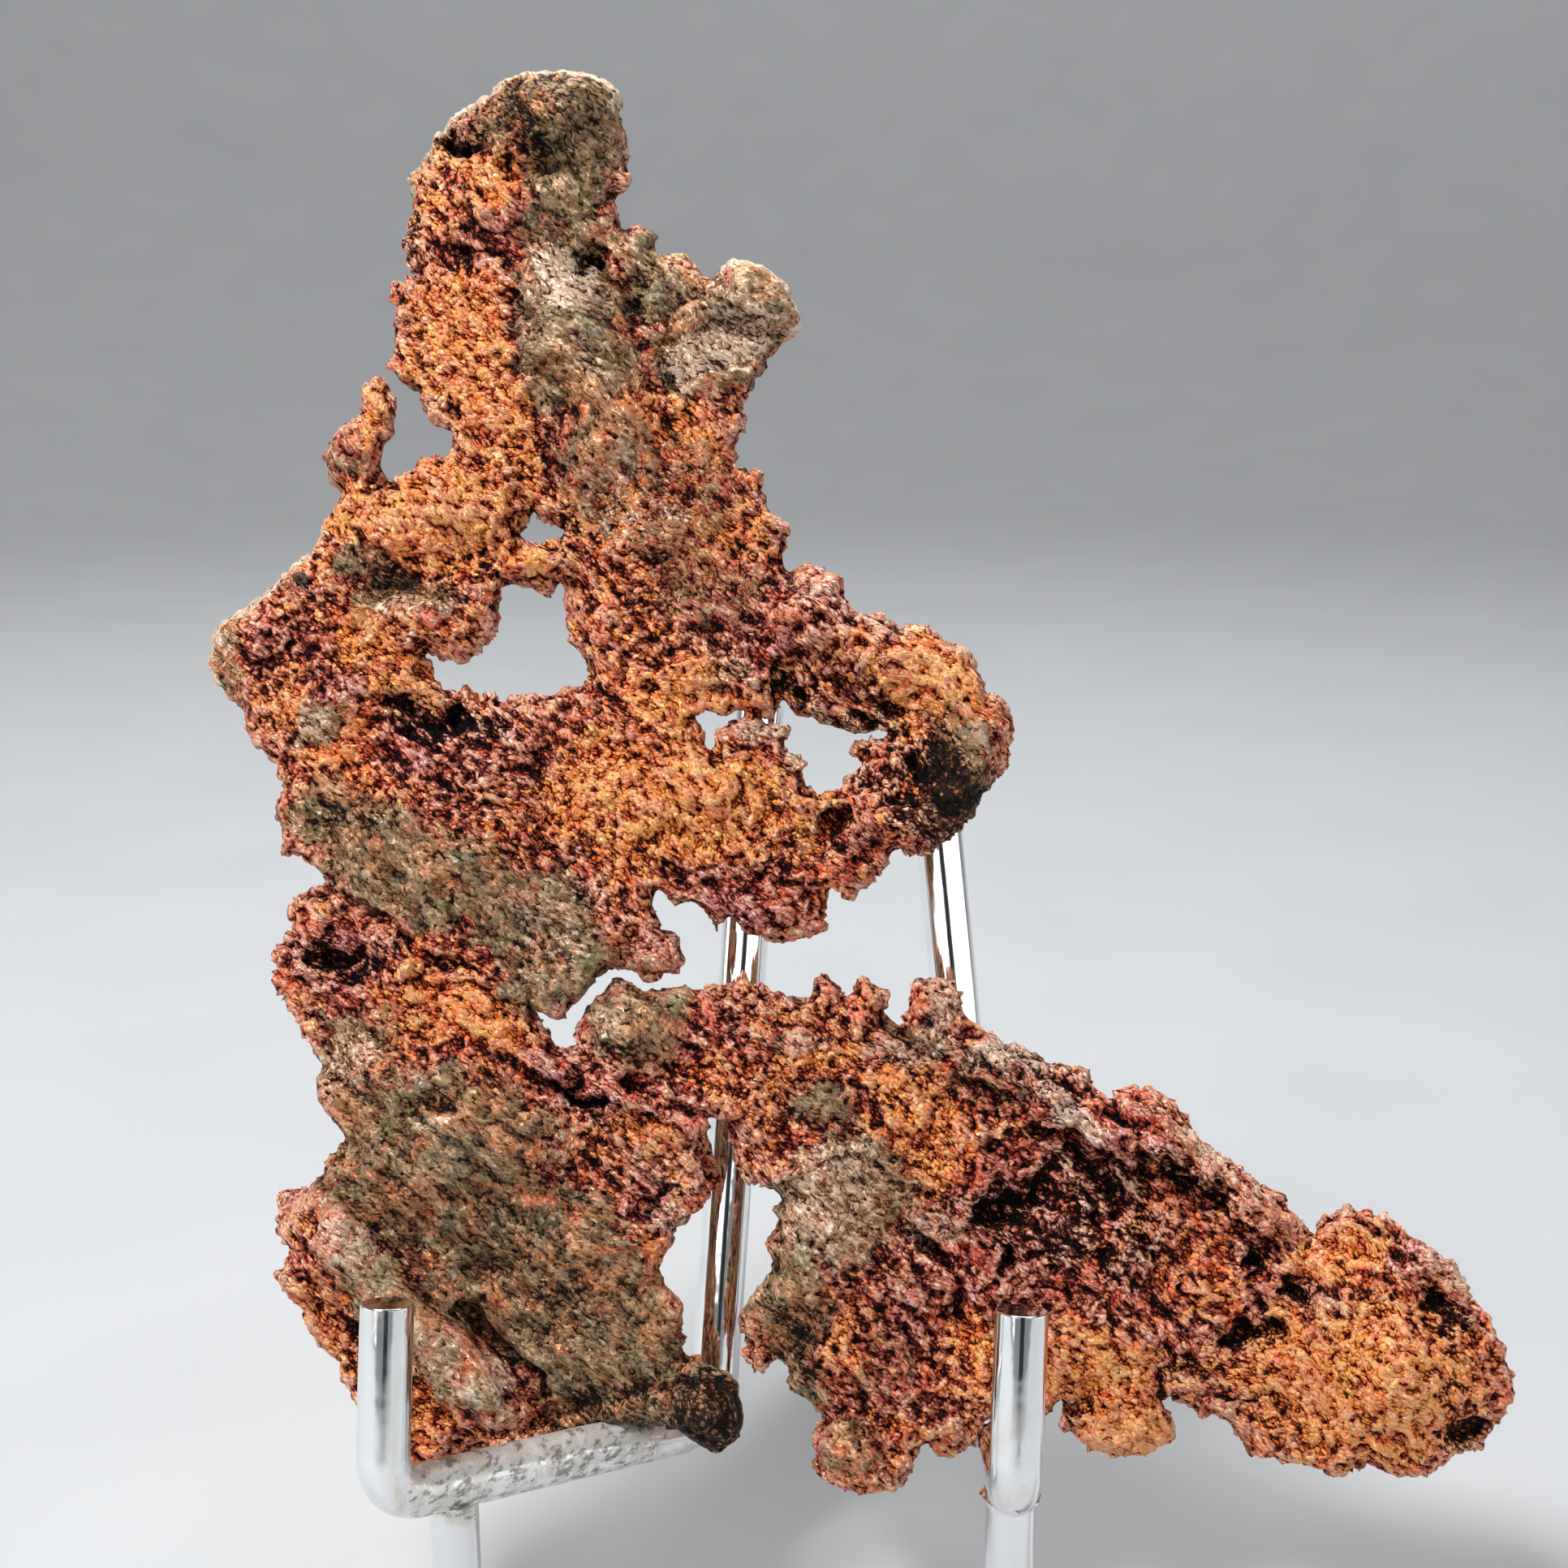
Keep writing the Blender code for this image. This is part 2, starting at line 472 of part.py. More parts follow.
def triangulate(loops):
    """Cover the outline with triangles that never join edge to edge.

    Front and back share the points of the loops, so a triangle side that
    runs between two of them would have no thickness. Such a side gets a
    point in its middle until none is left.
    """
    edge_count = sum(len(loop) for loop in loops)
    constraints = []
    first = 0
    for loop in loops:
        count = len(loop)
        constraints += [(first + i, first + (i + 1) % count) for i in range(count)]
        first += count
    points = np.vstack([np.array(loop) for loop in loops] + [ring_points(loops), grid_points(loops)])
    fixed = {frozenset(pair) for pair in constraints}
    while True:
        result = geometry.delaunay_2d_cdt([Vector(p) for p in points], constraints, [], 0, 1e-6)
        corners = np.array([tuple(v) for v in result[0]])
        triangles = np.array(result[2])
        triangles = triangles[inside(corners[triangles].mean(axis=1), loops)]
        source = [origins[0] for origins in result[3]]
        chords = set()
        for triangle in triangles:
            for i in range(3):
                pair = frozenset((source[triangle[i]], source[triangle[i - 1]]))
                if max(pair) < edge_count and pair not in fixed:
                    chords.add(pair)
        if not chords:
            return corners, triangles, np.array(source) < edge_count
        middles = [points[list(pair)].mean(axis=0) for pair in sorted(chords, key=sorted)]
        points = np.vstack([points, middles])


def lump_heights(points, lumps):
    """Add up the lumps at each point."""
    total = np.zeros(len(points))
    for x, y, length, width, turn, height in lumps:
        cosine = math.cos(math.radians(turn))
        sine = math.sin(math.radians(turn))
        offset = points - (x, y)
        along = (offset[:, 0] * cosine + offset[:, 1] * sine) / length
        across = (offset[:, 1] * cosine - offset[:, 0] * sine) / width
        total += height * np.clip(1.0 - along**2 - across**2, 0.0, 1.0) ** 1.5
    return total


def ridge_heights(points, ridges):
    """Add up the rolls and cracks at each point."""
    total = np.zeros(len(points))
    for line, half_width, height in ridges:
        nearest = np.full(len(points), np.inf)
        for start, end in zip(line, line[1:]):
            start = np.array(start)
            along = np.array(end) - start
            share = np.clip((points - start) @ along / (along @ along), 0.0, 1.0)
            offset = points - start - share[:, None] * along
            nearest = np.minimum(nearest, np.hypot(offset[:, 0], offset[:, 1]))
        total += height * np.clip(1.0 - (nearest / half_width) ** 2, 0.0, 1.0) ** 1.5
    return total


def waviness(points, layer):
    """Return smooth irregular waves between about -1 and 1."""
    waves = [
        noise.noise(Vector((x / WAVE_LENGTH, y / WAVE_LENGTH, layer))) * 2.0
        for x, y in points
    ]
    return np.array(waves)


def build_nugget():
    """Build the sheet: one triangulated outline, raised front and back."""
    loops = (OUTLINE,) + WINDOWS
    points, triangles, on_edge = triangulate(loops)
    roundness = 1.0 - np.clip(edge_distances(points, loops) / EDGE_ROUNDING, 0.0, 1.0)
    edge_profile = np.sqrt(1.0 - roundness**2)

    front = FRONT_THICKNESS + FRONT_WAVINESS * waviness(points, 0.0)
    front += lump_heights(points, FRONT_LUMPS) + ridge_heights(points, FRONT_RIDGES)
    back = BACK_THICKNESS + BACK_WAVINESS * waviness(points, 7.0)
    back += lump_heights(points, BACK_LUMPS)
    front = np.maximum(front * edge_profile, THINNEST)
    back = np.clip(back * edge_profile, THINNEST, BACK_LIMIT)
    front[on_edge] = 0.0
    back[on_edge] = 0.0

    bend = lump_heights(points, BENDS)
    drawn_in = points * (1.0 - bend / OUTLINE_VIEW_DISTANCE)[:, None]
    vertices = [sheet_to_world((x, y, z)) for (x, y), z in zip(drawn_in, bend + front)]
    back_index = np.arange(len(points))
    for i in np.flatnonzero(~on_edge):
        back_index[i] = len(vertices)
        x, y = drawn_in[i]
        vertices.append(sheet_to_world((x, y, bend[i] - back[i])))
    faces = triangles.tolist() + back_index[triangles[:, ::-1]].tolist()
    copper = material("copper", COPPER_COLOUR, 0.5)
    return mesh_object("copper_nugget", vertices, faces, copper)


def rounded_path(corners):
    """Replace each corner (point, bend radius) by an arc, all in metres."""
    path = [corners[0][0]]
    for (before, _), (corner, radius), (after, _) in zip(corners, corners[1:], corners[2:]):
        to_before = (before - corner).normalized()
        to_after = (after - corner).normalized()
        half_angle = to_before.angle(to_after) / 2
        reach = radius / math.tan(half_angle)
        centre = corner + (to_before + to_after).normalized() * (radius / math.sin(half_angle))
        start = corner + to_before * reach - centre
        end = corner + to_after * reach - centre
        arc = start.angle(end)
        for step in range(BEND_STEPS + 1):
            share = step / BEND_STEPS
            radial = start * math.sin((1.0 - share) * arc) + end * math.sin(share * arc)
            path.append(centre + radial / math.sin(arc))
    path.append(corners[-1][0])
    return path


def rod(name, path, radius, rounded_ends, surface):
    """Sweep a circle along a path; rounded ends are eased at their rims."""
    sections = [(point, radius) for point in path]
    if rounded_ends:
        easing = END_ROUNDING * MM
        first = (path[1] - path[0]).normalized()
        last = (path[-2] - path[-1]).normalized()
        sections[0] = (path[0] + first * easing, radius)
        sections[-1] = (path[-1] + last * easing, radius)
        sections.insert(0, (path[0], radius - easing))
        sections.append((path[-1], radius - easing))
    tangents = []
    for i in range(len(sections)):
        before = sections[max(i - 1, 0)][0]
        after = sections[min(i + 1, len(sections) - 1)][0]
        incoming = (sections[i][0] - before).normalized()
        outgoing = (after - sections[i][0]).normalized()
        tangents.append((incoming + outgoing).normalized())
    side = tangents[0].orthogonal().normalized()
    vertices = []
    for i, (point, ring_radius) in enumerate(sections):
        if i:
            side.rotate(tangents[i - 1].rotation_difference(tangents[i]))
        other = tangents[i].cross(side)
        for step in range(ROD_SIDES):
            angle = math.tau * step / ROD_SIDES
            radial = side * math.cos(angle) + other * math.sin(angle)
            vertices.append(point + radial * ring_radius)
    faces = []
    for ring in range(len(sections) - 1):
        for step in range(ROD_SIDES):
            low = ring * ROD_SIDES + step
            low_next = ring * ROD_SIDES + (step + 1) % ROD_SIDES
            faces.append((low, low_next, low_next + ROD_SIDES, low + ROD_SIDES))
    faces.append(tuple(reversed(range(ROD_SIDES))))
    faces.append(tuple(range(len(vertices) - ROD_SIDES, len(vertices))))
    return mesh_object(name, vertices, faces, surface)


def weld(target, other):
    """Join another rod into the target and leave it hidden as the cutter."""
    union = target.modifiers.new("weld_" + other.name, "BOOLEAN")
    union.operation = "UNION"
    union.solver = "EXACT"
    union.object = other
    other.display_type = "WIRE"
    other.hide_render = True


def build_easel():
    """Build the easel: one bent rod, two front legs, a cross bar, a rear leg."""
    chrome = material("chrome", CHROME_COLOUR, 0.12)
    corners = [(sheet_to_world(row[:3]), row[3] * MM) for row in EASEL_ROD]
    easel = rod("rod_easel", rounded_path(corners), ROD_RADIUS * MM, True, chrome)

    welded = []
    for side, top in zip(("left", "right"), LEG_TOPS):
        start = sheet_to_world(top)
        foot = Vector((start.x, start.y, 0.0))
        welded.append(rod("leg_" + side, [start, foot], LEG_RADIUS * MM, False, chrome))
    bar_ends = [sheet_to_world(end) for end in CROSS_BAR]
    welded.append(rod("cross_bar", bar_ends, LEG_RADIUS * MM, False, chrome))

    top = sheet_to_world(REAR_LEG_TOP)
    foot = Vector((top.x, top.y + REAR_LEG_REACH * MM, 0.0))
    ankle = foot + Vector((0.0, 0.0, REAR_FOOT_HEIGHT * MM))
    bends = [(top, 0.0), (ankle, REAR_FOOT_BEND * MM), (foot, 0.0)]
    welded.append(rod("rear_leg", rounded_path(bends), LEG_RADIUS * MM, False, chrome))
    for other in welded:
        weld(easel, other)
    return [easel] + welded


def centre_on_ground(objects):
    """Move the pieces so that their footprint is centred on the origin."""
    points = np.array([vertex.co for item in objects for vertex in item.data.vertices])
    low = points.min(axis=0)
    high = points.max(axis=0)
    shift = Matrix.Translation((-(low[0] + high[0]) / 2, -(low[1] + high[1]) / 2, -low[2]))
    for item in objects:
        item.data.transform(shift)


for old in list(bpy.data.objects):
    bpy.data.objects.remove(old)
centre_on_ground([build_nugget()] + build_easel())
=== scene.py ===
import math

import bmesh
import bpy
import numpy as np
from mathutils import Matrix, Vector, noise


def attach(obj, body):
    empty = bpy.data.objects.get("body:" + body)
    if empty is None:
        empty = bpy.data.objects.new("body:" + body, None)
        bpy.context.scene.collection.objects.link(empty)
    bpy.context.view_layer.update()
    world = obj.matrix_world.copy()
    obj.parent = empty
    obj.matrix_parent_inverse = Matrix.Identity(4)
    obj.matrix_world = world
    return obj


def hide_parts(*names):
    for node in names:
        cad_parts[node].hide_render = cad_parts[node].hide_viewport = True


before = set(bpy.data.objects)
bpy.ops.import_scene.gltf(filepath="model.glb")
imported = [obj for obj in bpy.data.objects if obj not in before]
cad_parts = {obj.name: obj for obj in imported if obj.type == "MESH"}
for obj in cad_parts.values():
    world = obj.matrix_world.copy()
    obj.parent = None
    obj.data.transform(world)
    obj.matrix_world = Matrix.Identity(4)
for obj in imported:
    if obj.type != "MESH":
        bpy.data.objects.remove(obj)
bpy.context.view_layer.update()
scene = bpy.context.scene
MM = 0.001


# ---------------------------------------------------------------------------
# Easel. One round steel rod is bent from hook to hook: down, back along the
# left arm, up and over as an arch, and out again along the right arm. Two
# legs, a cross bar and a rear leg are welded on, and the whole is chromed.
# ---------------------------------------------------------------------------

LEAN = math.radians(15.0)
SHEET_ORIGIN = np.array((-8.396, -0.403, 104.7))
SHEET_RIGHT = np.array((1.0, 0.0, 0.0))
SHEET_UP = np.array((0.0, math.sin(LEAN), math.cos(LEAN)))
SHEET_OUT = np.array((0.0, -math.cos(LEAN), math.sin(LEAN)))
SHEET_AXES = np.array((SHEET_RIGHT, SHEET_UP, SHEET_OUT))


def sheet_to_world(points):
    """Turn points on the sheet (right, up, out in mm) into world metres."""
    return (np.asarray(points, float) @ SHEET_AXES + SHEET_ORIGIN) * MM


def world_to_sheet(points):
    """Turn world metres into points on the sheet (right, up, out in mm)."""
    return (np.asarray(points, float) / MM - SHEET_ORIGIN) @ SHEET_AXES.T


class Socket:
    """A shader socket that can stand in a sum: operators add Math nodes."""

    def __init__(self, finish, socket):
        self.finish = finish
        self.socket = socket

    def math(self, operation, *values, clamp=False):
        """Add a Math node with these values and return its result."""
        settings = {"operation": operation, "use_clamp": clamp}
        return self.finish.node("ShaderNodeMath", settings, dict(enumerate(values)))

    def __add__(self, other):
        return self.math("ADD", self, other)

    def __radd__(self, other):
        return self.math("ADD", other, self)

    def __sub__(self, other):
        return self.math("SUBTRACT", self, other)

    def __rsub__(self, other):
        return self.math("SUBTRACT", other, self)

    def __mul__(self, other):
        return self.math("MULTIPLY", self, other)

    def __rmul__(self, other):
        return self.math("MULTIPLY", other, self)

    def clamped(self):
        return self.math("ADD", self, 0.0, clamp=True)

    def between(self, low, high):
        """Rise smoothly from 0 at low to 1 at high."""
        settings = {"interpolation_type": "SMOOTHSTEP"}
        sockets = {"Value": self, "From Min": low, "From Max": high}
        return self.finish.node("ShaderNodeMapRange", settings, sockets)


class Finish:
    """A material whose nodes are all added by one method; sizes are in mm."""

    def __init__(self, name):
        self.material = bpy.data.materials.new(name)
        self.material.use_nodes = True
        self.tree = self.material.node_tree
        self.tree.nodes.clear()

    def node(self, kind, settings=None, sockets=None, output=0):
        """Add a node of a kind, with its settings and sockets, and return an output."""
        made = self.tree.nodes.new(kind)
        for name, value in (settings or {}).items():
            if name == "stops":
                elements = made.color_ramp.elements
                while len(elements) < len(value):
                    elements.new(1.0)
                for element, (place, colour) in zip(elements, value):
                    element.position = place
                    element.color = (*colour, 1.0)
            else:
                setattr(made, name, value)
        for key, value in (sockets or {}).items():
            if isinstance(value, Socket):
                self.tree.links.new(value.socket, made.inputs[key])
            else:
                made.inputs[key].default_value = value
        if output is None:
            return None
        return Socket(self, made.outputs[output])

    def place_in_mm(self):
        """Object coordinates in millimetres."""
        coordinates = self.node("ShaderNodeTexCoord", output="Object")
        return self.scaled(coordinates, (1.0 / MM, 1.0 / MM, 1.0 / MM))

    def scaled(self, vector, scale):
        return self.node("ShaderNodeVectorMath", {"operation": "MULTIPLY"}, {0: vector, 1: scale})

    def shifted(self, vector, offset):
        return self.node("ShaderNodeVectorMath", {"operation": "ADD"}, {0: vector, 1: offset})

    def drawn_out(self, place, degrees, sizes):
        """Turn about the Y axis and measure in lengths of the given sizes."""
        sockets = {"Vector": place, "Rotation": (0.0, math.radians(degrees), 0.0),
                   "Scale": sizes}
        return self.node("ShaderNodeMapping", {"vector_type": "TEXTURE"}, sockets)

    def bent(self, place, size, amount):
        """Push a place about by noise of the given size and amount in mm."""
        sockets = {"Vector": place, "Scale": 1.0 / size, "Detail": 1.0}
        push = self.node("ShaderNodeTexNoise", {}, sockets, "Color")
        push = self.shifted(push, (-0.5, -0.5, -0.5))
        push = self.scaled(push, (amount, amount, amount))
        return self.shifted(place, push)

    def noise(self, place, size, detail=2.0, roughness=0.5):
        """Soft irregular noise from 0 to 1 with lumps of the given size in mm."""
        sockets = {"Vector": place, "Scale": 1.0 / size, "Detail": detail,
                   "Roughness": roughness}
        return self.node("ShaderNodeTexNoise", {}, sockets)

    def cells(self, place, size, feature="F1", output="Distance"):
        """Cells of the given size in mm: distance to a centre, or a colour each."""
        sockets = {"Vector": place, "Scale": 1.0 / size}
        return self.node("ShaderNodeTexVoronoi", {"feature": feature}, sockets, output)

    def mix(self, factor, first, second, blend="MIX"):
        """Mix two colours; a plain tuple is taken as red, green, blue."""
        settings = {"data_type": "RGBA", "blend_type": blend}
        colours = [c if isinstance(c, Socket) else (*c, 1.0) for c in (first, second)]
        sockets = {0: factor, 6: colours[0], 7: colours[1]}
        return self.node("ShaderNodeMix", settings, sockets, output=2)

    def multiplied(self, factor, colour, tint):
        """Multiply a colour by a tint, as far as the factor says."""
        return self.mix(factor, colour, self.mix(1.0, colour, tint, "MULTIPLY"))

    def ramp(self, factor, stops):
        return self.node("ShaderNodeValToRGB", {"stops": stops}, {"Fac": factor})

    def bump(self, height, distance_mm):
        """A normal that shows a height of 1 as this many millimetres."""
        sockets = {"Height": height, "Distance": distance_mm * MM}
        return self.node("ShaderNodeBump", {}, sockets)

    def surface(self, **sockets):
        """End the tree in a Principled BSDF with these sockets."""
        named = {name.replace("_", " "): value for name, value in sockets.items()}
        shader = self.node("ShaderNodeBsdfPrincipled", {}, named)
        self.node("ShaderNodeOutputMaterial", {}, {"Surface": shader}, None)
        return self.material


# The left arm as seen from the front, in world mm: it falls towards the right,
# and between two ends it carries tarnish and a painted reflection of the copper above.
ARM_FALL = 0.305
ARM_HEIGHT = 17.9
TARNISH_AND_REFLECTION_LEFT_END = (-56.0, -49.0)
TARNISH_AND_REFLECTION_RIGHT_END = (-17.0, -24.0)
TARNISH_AND_REFLECTION_BELOW_ARM = (-3.8, -2.4)
TARNISH_AND_REFLECTION_ABOVE_ARM = (7.0, 5.0)


def chrome_finish():
    """Polished chrome plate with a haze of handling marks and one spotted stretch of tarnish and
    painted reflection.
    """
    chrome = Finish("polished_chrome")
    place = chrome.place_in_mm()
    across = chrome.node("ShaderNodeSeparateXYZ", {}, {"Vector": place}, "X")
    upward = chrome.node("ShaderNodeSeparateXYZ", {}, {"Vector": place}, "Z")
    off_arm = upward + across * ARM_FALL - ARM_HEIGHT
    tarnish_and_reflection = across.between(*TARNISH_AND_REFLECTION_LEFT_END) * across.between(*TARNISH_AND_REFLECTION_RIGHT_END)
    tarnish_and_reflection = tarnish_and_reflection * off_arm.between(*TARNISH_AND_REFLECTION_BELOW_ARM) * off_arm.between(*TARNISH_AND_REFLECTION_ABOVE_ARM)
    # in that stretch the beige haze and the dark spots are partly tarnish, partly a painted
    # reflection of the copper sheet above
    haze_and_reflection = chrome.noise(place, 7.0, 4.0, 0.6).between(0.48, 0.72) + tarnish_and_reflection * 1.5
    smear = chrome.noise(chrome.scaled(place, (1.0, 1.0, 0.25)), 2.2, 3.0, 0.6)
    marks_and_reflection = (haze_and_reflection * smear.between(0.35, 0.7)).clamped()
    colour = chrome.mix(marks_and_reflection, (0.88, 0.89, 0.90), (0.72, 0.70, 0.65))
    spots = chrome.noise(chrome.scaled(place, (0.7, 0.4, 1.2)), 1.0, 4.0, 0.7)
    spotted = (tarnish_and_reflection * (0.45 + spots)).between(0.93, 1.07)
    colour = chrome.mix(spotted * 0.8, colour, (0.16, 0.15, 0.12))
    ripple = chrome.noise(place, 5.0, 2.0, 0.5)
    return chrome.surface(Base_Color=colour, Metallic=1.0 - tarnish_and_reflection * 0.55,
                          Roughness=0.06 + marks_and_reflection * 0.28, Normal=chrome.bump(ripple, 0.05))


def rod_tree(material):
    """Geometry Nodes: round the corners of a path and sweep a circle along it."""
    tree = bpy.data.node_groups.new("bent_rod", "GeometryNodeTree")
    face = tree.interface
    face.new_socket("Geometry", in_out="INPUT", socket_type="NodeSocketGeometry")
    face.new_socket("Rod Radius", in_out="INPUT", socket_type="NodeSocketFloat")
    face.new_socket("Sides", in_out="INPUT", socket_type="NodeSocketInt")
    face.new_socket("Bend Steps", in_out="INPUT", socket_type="NodeSocketInt")
    face.new_socket("Geometry", in_out="OUTPUT", socket_type="NodeSocketGeometry")

    def node(kind, settings=None, sockets=None):
        made = tree.nodes.new(kind)
        for name, value in (settings or {}).items():
            setattr(made, name, value)
        for key, value in (sockets or {}).items():
            if isinstance(value, bpy.types.NodeSocket):
                tree.links.new(value, made.inputs[key])
            else:
                made.inputs[key].default_value = value
        return made

    given = node("NodeGroupInput").outputs
    bend = node("GeometryNodeInputNamedAttribute", {"data_type": "FLOAT"}, {"Name": "bend"})
    path = node("GeometryNodeMeshToCurve", {}, {"Mesh": given["Geometry"]})
    rounded = node("GeometryNodeFilletCurve", {"mode": "POLY"}, {
        "Curve": path.outputs["Curve"],
        "Radius": bend.outputs["Attribute"],
        "Count": given["Bend Steps"],
    })
    ring = node("GeometryNodeCurvePrimitiveCircle", {}, {"Resolution": given["Sides"],
                                                         "Radius": given["Rod Radius"]})
    swept = node("GeometryNodeCurveToMesh", {}, {"Curve": rounded.outputs["Curve"],
                                                 "Profile Curve": ring.outputs["Curve"],
                                                 "Fill Caps": True})
    whole = node("GeometryNodeRealizeInstances", {}, {"Geometry": swept.outputs["Mesh"]})
    dressed = node("GeometryNodeSetMaterial", {}, {"Geometry": whole.outputs["Geometry"],
                                                   "Material": material})
    node("NodeGroupOutput", {}, {"Geometry": dressed.outputs["Geometry"]})
    return tree


def set_inputs(modifier, **values):
    """Set a Geometry Nodes modifier's inputs by their sockets' identifiers."""
    for item in modifier.node_group.interface.items_tree:
        if item.in_out == "INPUT" and item.name.replace(" ", "_") in values:
            modifier[item.identifier] = values[item.name.replace(" ", "_")]


def baked_mesh(source):
    """Return the evaluated object as a plain mesh of its own."""
    bpy.context.view_layer.update()
    evaluated = source.evaluated_get(bpy.context.evaluated_depsgraph_get())
    return bpy.data.meshes.new_from_object(evaluated)


def linked_object(name, mesh):
    """Put a mesh into the scene as an object at the origin."""
    made = bpy.data.objects.new(name, mesh)
    scene.collection.objects.link(made)
    return made


ROD_RADIUS = 3.0
LEG_RADIUS = 2.9
ROD_SIDES = 48
ROD_BEND_STEPS = 14
ROD_END_EASING = 1.5
ROD_END_SEGMENTS = 4
SHARP_ANGLE = math.radians(60.0)
# The bent rod's corners: right, up, out, bend radius.
MAIN_ROD = (
    (-44.2, -57.8, 25.0, 0.0),
    (-44.8, -79.6, 25.0, 5.0),
    (-9.2, -81.6, -10.0, 6.0),
    (-2.5, 17.2, -10.0, 9.0),
    (17.5, 17.2, -10.0, 9.0),
    (27.2, -81.6, -10.0, 6.0),
    (25.7, -79.6, 25.0, 5.0),
    (26.5, -58.6, 25.0, 0.0),
)
CROSS_BAR = ((-7.1, -46.2, -12.0, 0.0), (24.1, -46.2, -12.0, 0.0))
LEG_TOPS = ((-38.0, -80.0, 18.4), (26.0, -80.0, 18.4))
REAR_LEG_TOP = (8.5, -46.2, -12.0)
REAR_LEG_REACH = 45.0
REAR_FOOT_HEIGHT = 8.0
REAR_FOOT_BEND = 6.0


def swept_rod(name, corners, radius, tree):
    """Sweep a rod along corners given as (x, y, z, bend radius) in sheet mm."""
    points = sheet_to_world([corner[:3] for corner in corners])
    mesh = bpy.data.meshes.new(name)
    edges = [(i, i + 1) for i in range(len(corners) - 1)]
    mesh.from_pydata([tuple(p) for p in points], edges, [])
    bend = mesh.attributes.new("bend", "FLOAT", "POINT")
    bend.data.foreach_set("value", [corner[3] * MM for corner in corners])
    guide = linked_object(name + "_path", mesh)
    sweep = guide.modifiers.new("bent_rod", "NODES")
    sweep.node_group = tree
    set_inputs(sweep, Rod_Radius=radius * MM, Sides=ROD_SIDES, Bend_Steps=ROD_BEND_STEPS)
    made = baked_mesh(guide)
    bpy.data.objects.remove(guide)
    return made


chrome = chrome_finish()
bent_rod = rod_tree(chrome)


def place_on_sheet(world_mm):
    """Return the sheet coordinates of a point given in world millimetres."""
    return tuple(world_to_sheet(np.asarray(world_mm) * MM))


rod_meshes = [swept_rod("main_rod", MAIN_ROD, ROD_RADIUS, bent_rod),
              swept_rod("cross_bar", CROSS_BAR, LEG_RADIUS, bent_rod)]
for leg_top in LEG_TOPS:
    x, y, _ = sheet_to_world(leg_top) / MM
    leg_foot = place_on_sheet((x, y, 0.0))
    leg = ((*leg_top, 0.0), (*leg_foot, 0.0))
    rod_meshes.append(swept_rod("front_leg", leg, LEG_RADIUS, bent_rod))
x, y, _ = sheet_to_world(REAR_LEG_TOP) / MM
rear_leg = (
    (*REAR_LEG_TOP, 0.0),
    (*place_on_sheet((x, y + REAR_LEG_REACH, REAR_FOOT_HEIGHT)), REAR_FOOT_BEND),
    (*place_on_sheet((x, y + REAR_LEG_REACH, 0.0)), 0.0),
)
rod_meshes.append(swept_rod("rear_leg", rear_leg, LEG_RADIUS, bent_rod))

WELD_SIDES = 40
WELD_RINGS = 7
WELD_HEIGHT = 1.8
WELD_SUNK = 1.2
WELD_OVERLAP = 0.1
WELD_FLARE = 0.7
WELD_HOLLOWING = 1.8
WELD_LUMP_HEIGHT = 0.5
WELD_LUMP_SPREAD = 3.0
WELD_LUMP_VARIATION = 0.7
# Where a weld sits on the sheet, which way its rod leaves (world), how far up it the bead starts.
WELDS = (
    ((-38.0, -80.0, 18.4), (0.0, 0.0, -1.0), 2.6),
    ((26.0, -80.0, 18.4), (0.0, 0.0, -1.0), 2.6),
    ((-6.4, -46.2, -11.4), (1.0, 0.0, 0.0), 2.4),
    ((23.4, -46.2, -11.4), (-1.0, 0.0, 0.0), 2.4),
    ((8.5, -46.2, -12.0), (0.0, 0.676, -0.737), 2.5),
)


def weld_bead(where, direction, start):
    """A lumpy fillet of weld metal round a rod, flaring into the other rod."""
    axis = Vector(direction).normalized()
    side = axis.orthogonal().normalized()
    other = axis.cross(side)
    centre = Vector(sheet_to_world(where)) / MM
    points = []
    for ring in range(WELD_RINGS):
        share = ring / (WELD_RINGS - 1)
        for step in range(WELD_SIDES):
            angle = math.tau * step / WELD_SIDES
            lumps = WELD_LUMP_HEIGHT * noise.noise(
                centre * WELD_LUMP_VARIATION
                + side * (WELD_LUMP_SPREAD * math.cos(angle))
                + other * (WELD_LUMP_SPREAD * math.sin(angle)))
            flare = (WELD_FLARE + lumps) * (1.0 - share) ** WELD_HOLLOWING
            radius = LEG_RADIUS - WELD_OVERLAP + flare
            radial = side * math.cos(angle) + other * math.sin(angle)
            along = start - WELD_SUNK + (WELD_HEIGHT + lumps) * share
            points.append((centre + radial * radius + axis * along) * MM)
    faces = []
    for ring in range(WELD_RINGS - 1):
        for step in range(WELD_SIDES):
            low = ring * WELD_SIDES + step
            low_next = ring * WELD_SIDES + (step + 1) % WELD_SIDES
            faces.append((low, low_next, low_next + WELD_SIDES, low + WELD_SIDES))
    faces.append(tuple(reversed(range(WELD_SIDES))))
    faces.append(tuple(range(len(points) - WELD_SIDES, len(points))))
    mesh = bpy.data.meshes.new("weld_bead")
    mesh.from_pydata([tuple(p) for p in points], [], faces)
    mesh.materials.append(chrome)
    return mesh


for weld in WELDS:
    rod_meshes.append(weld_bead(*weld))


def joined(name, meshes):
    """Join plain meshes of one material into one object."""
    whole = bmesh.new()
    for mesh in meshes:
        whole.from_mesh(mesh)
    bmesh.ops.recalc_face_normals(whole, faces=whole.faces)
    mesh = bpy.data.meshes.new(name)
    whole.to_mesh(mesh)
    whole.free()
    mesh.materials.append(meshes[0].materials[0])
    return linked_object(name, mesh)


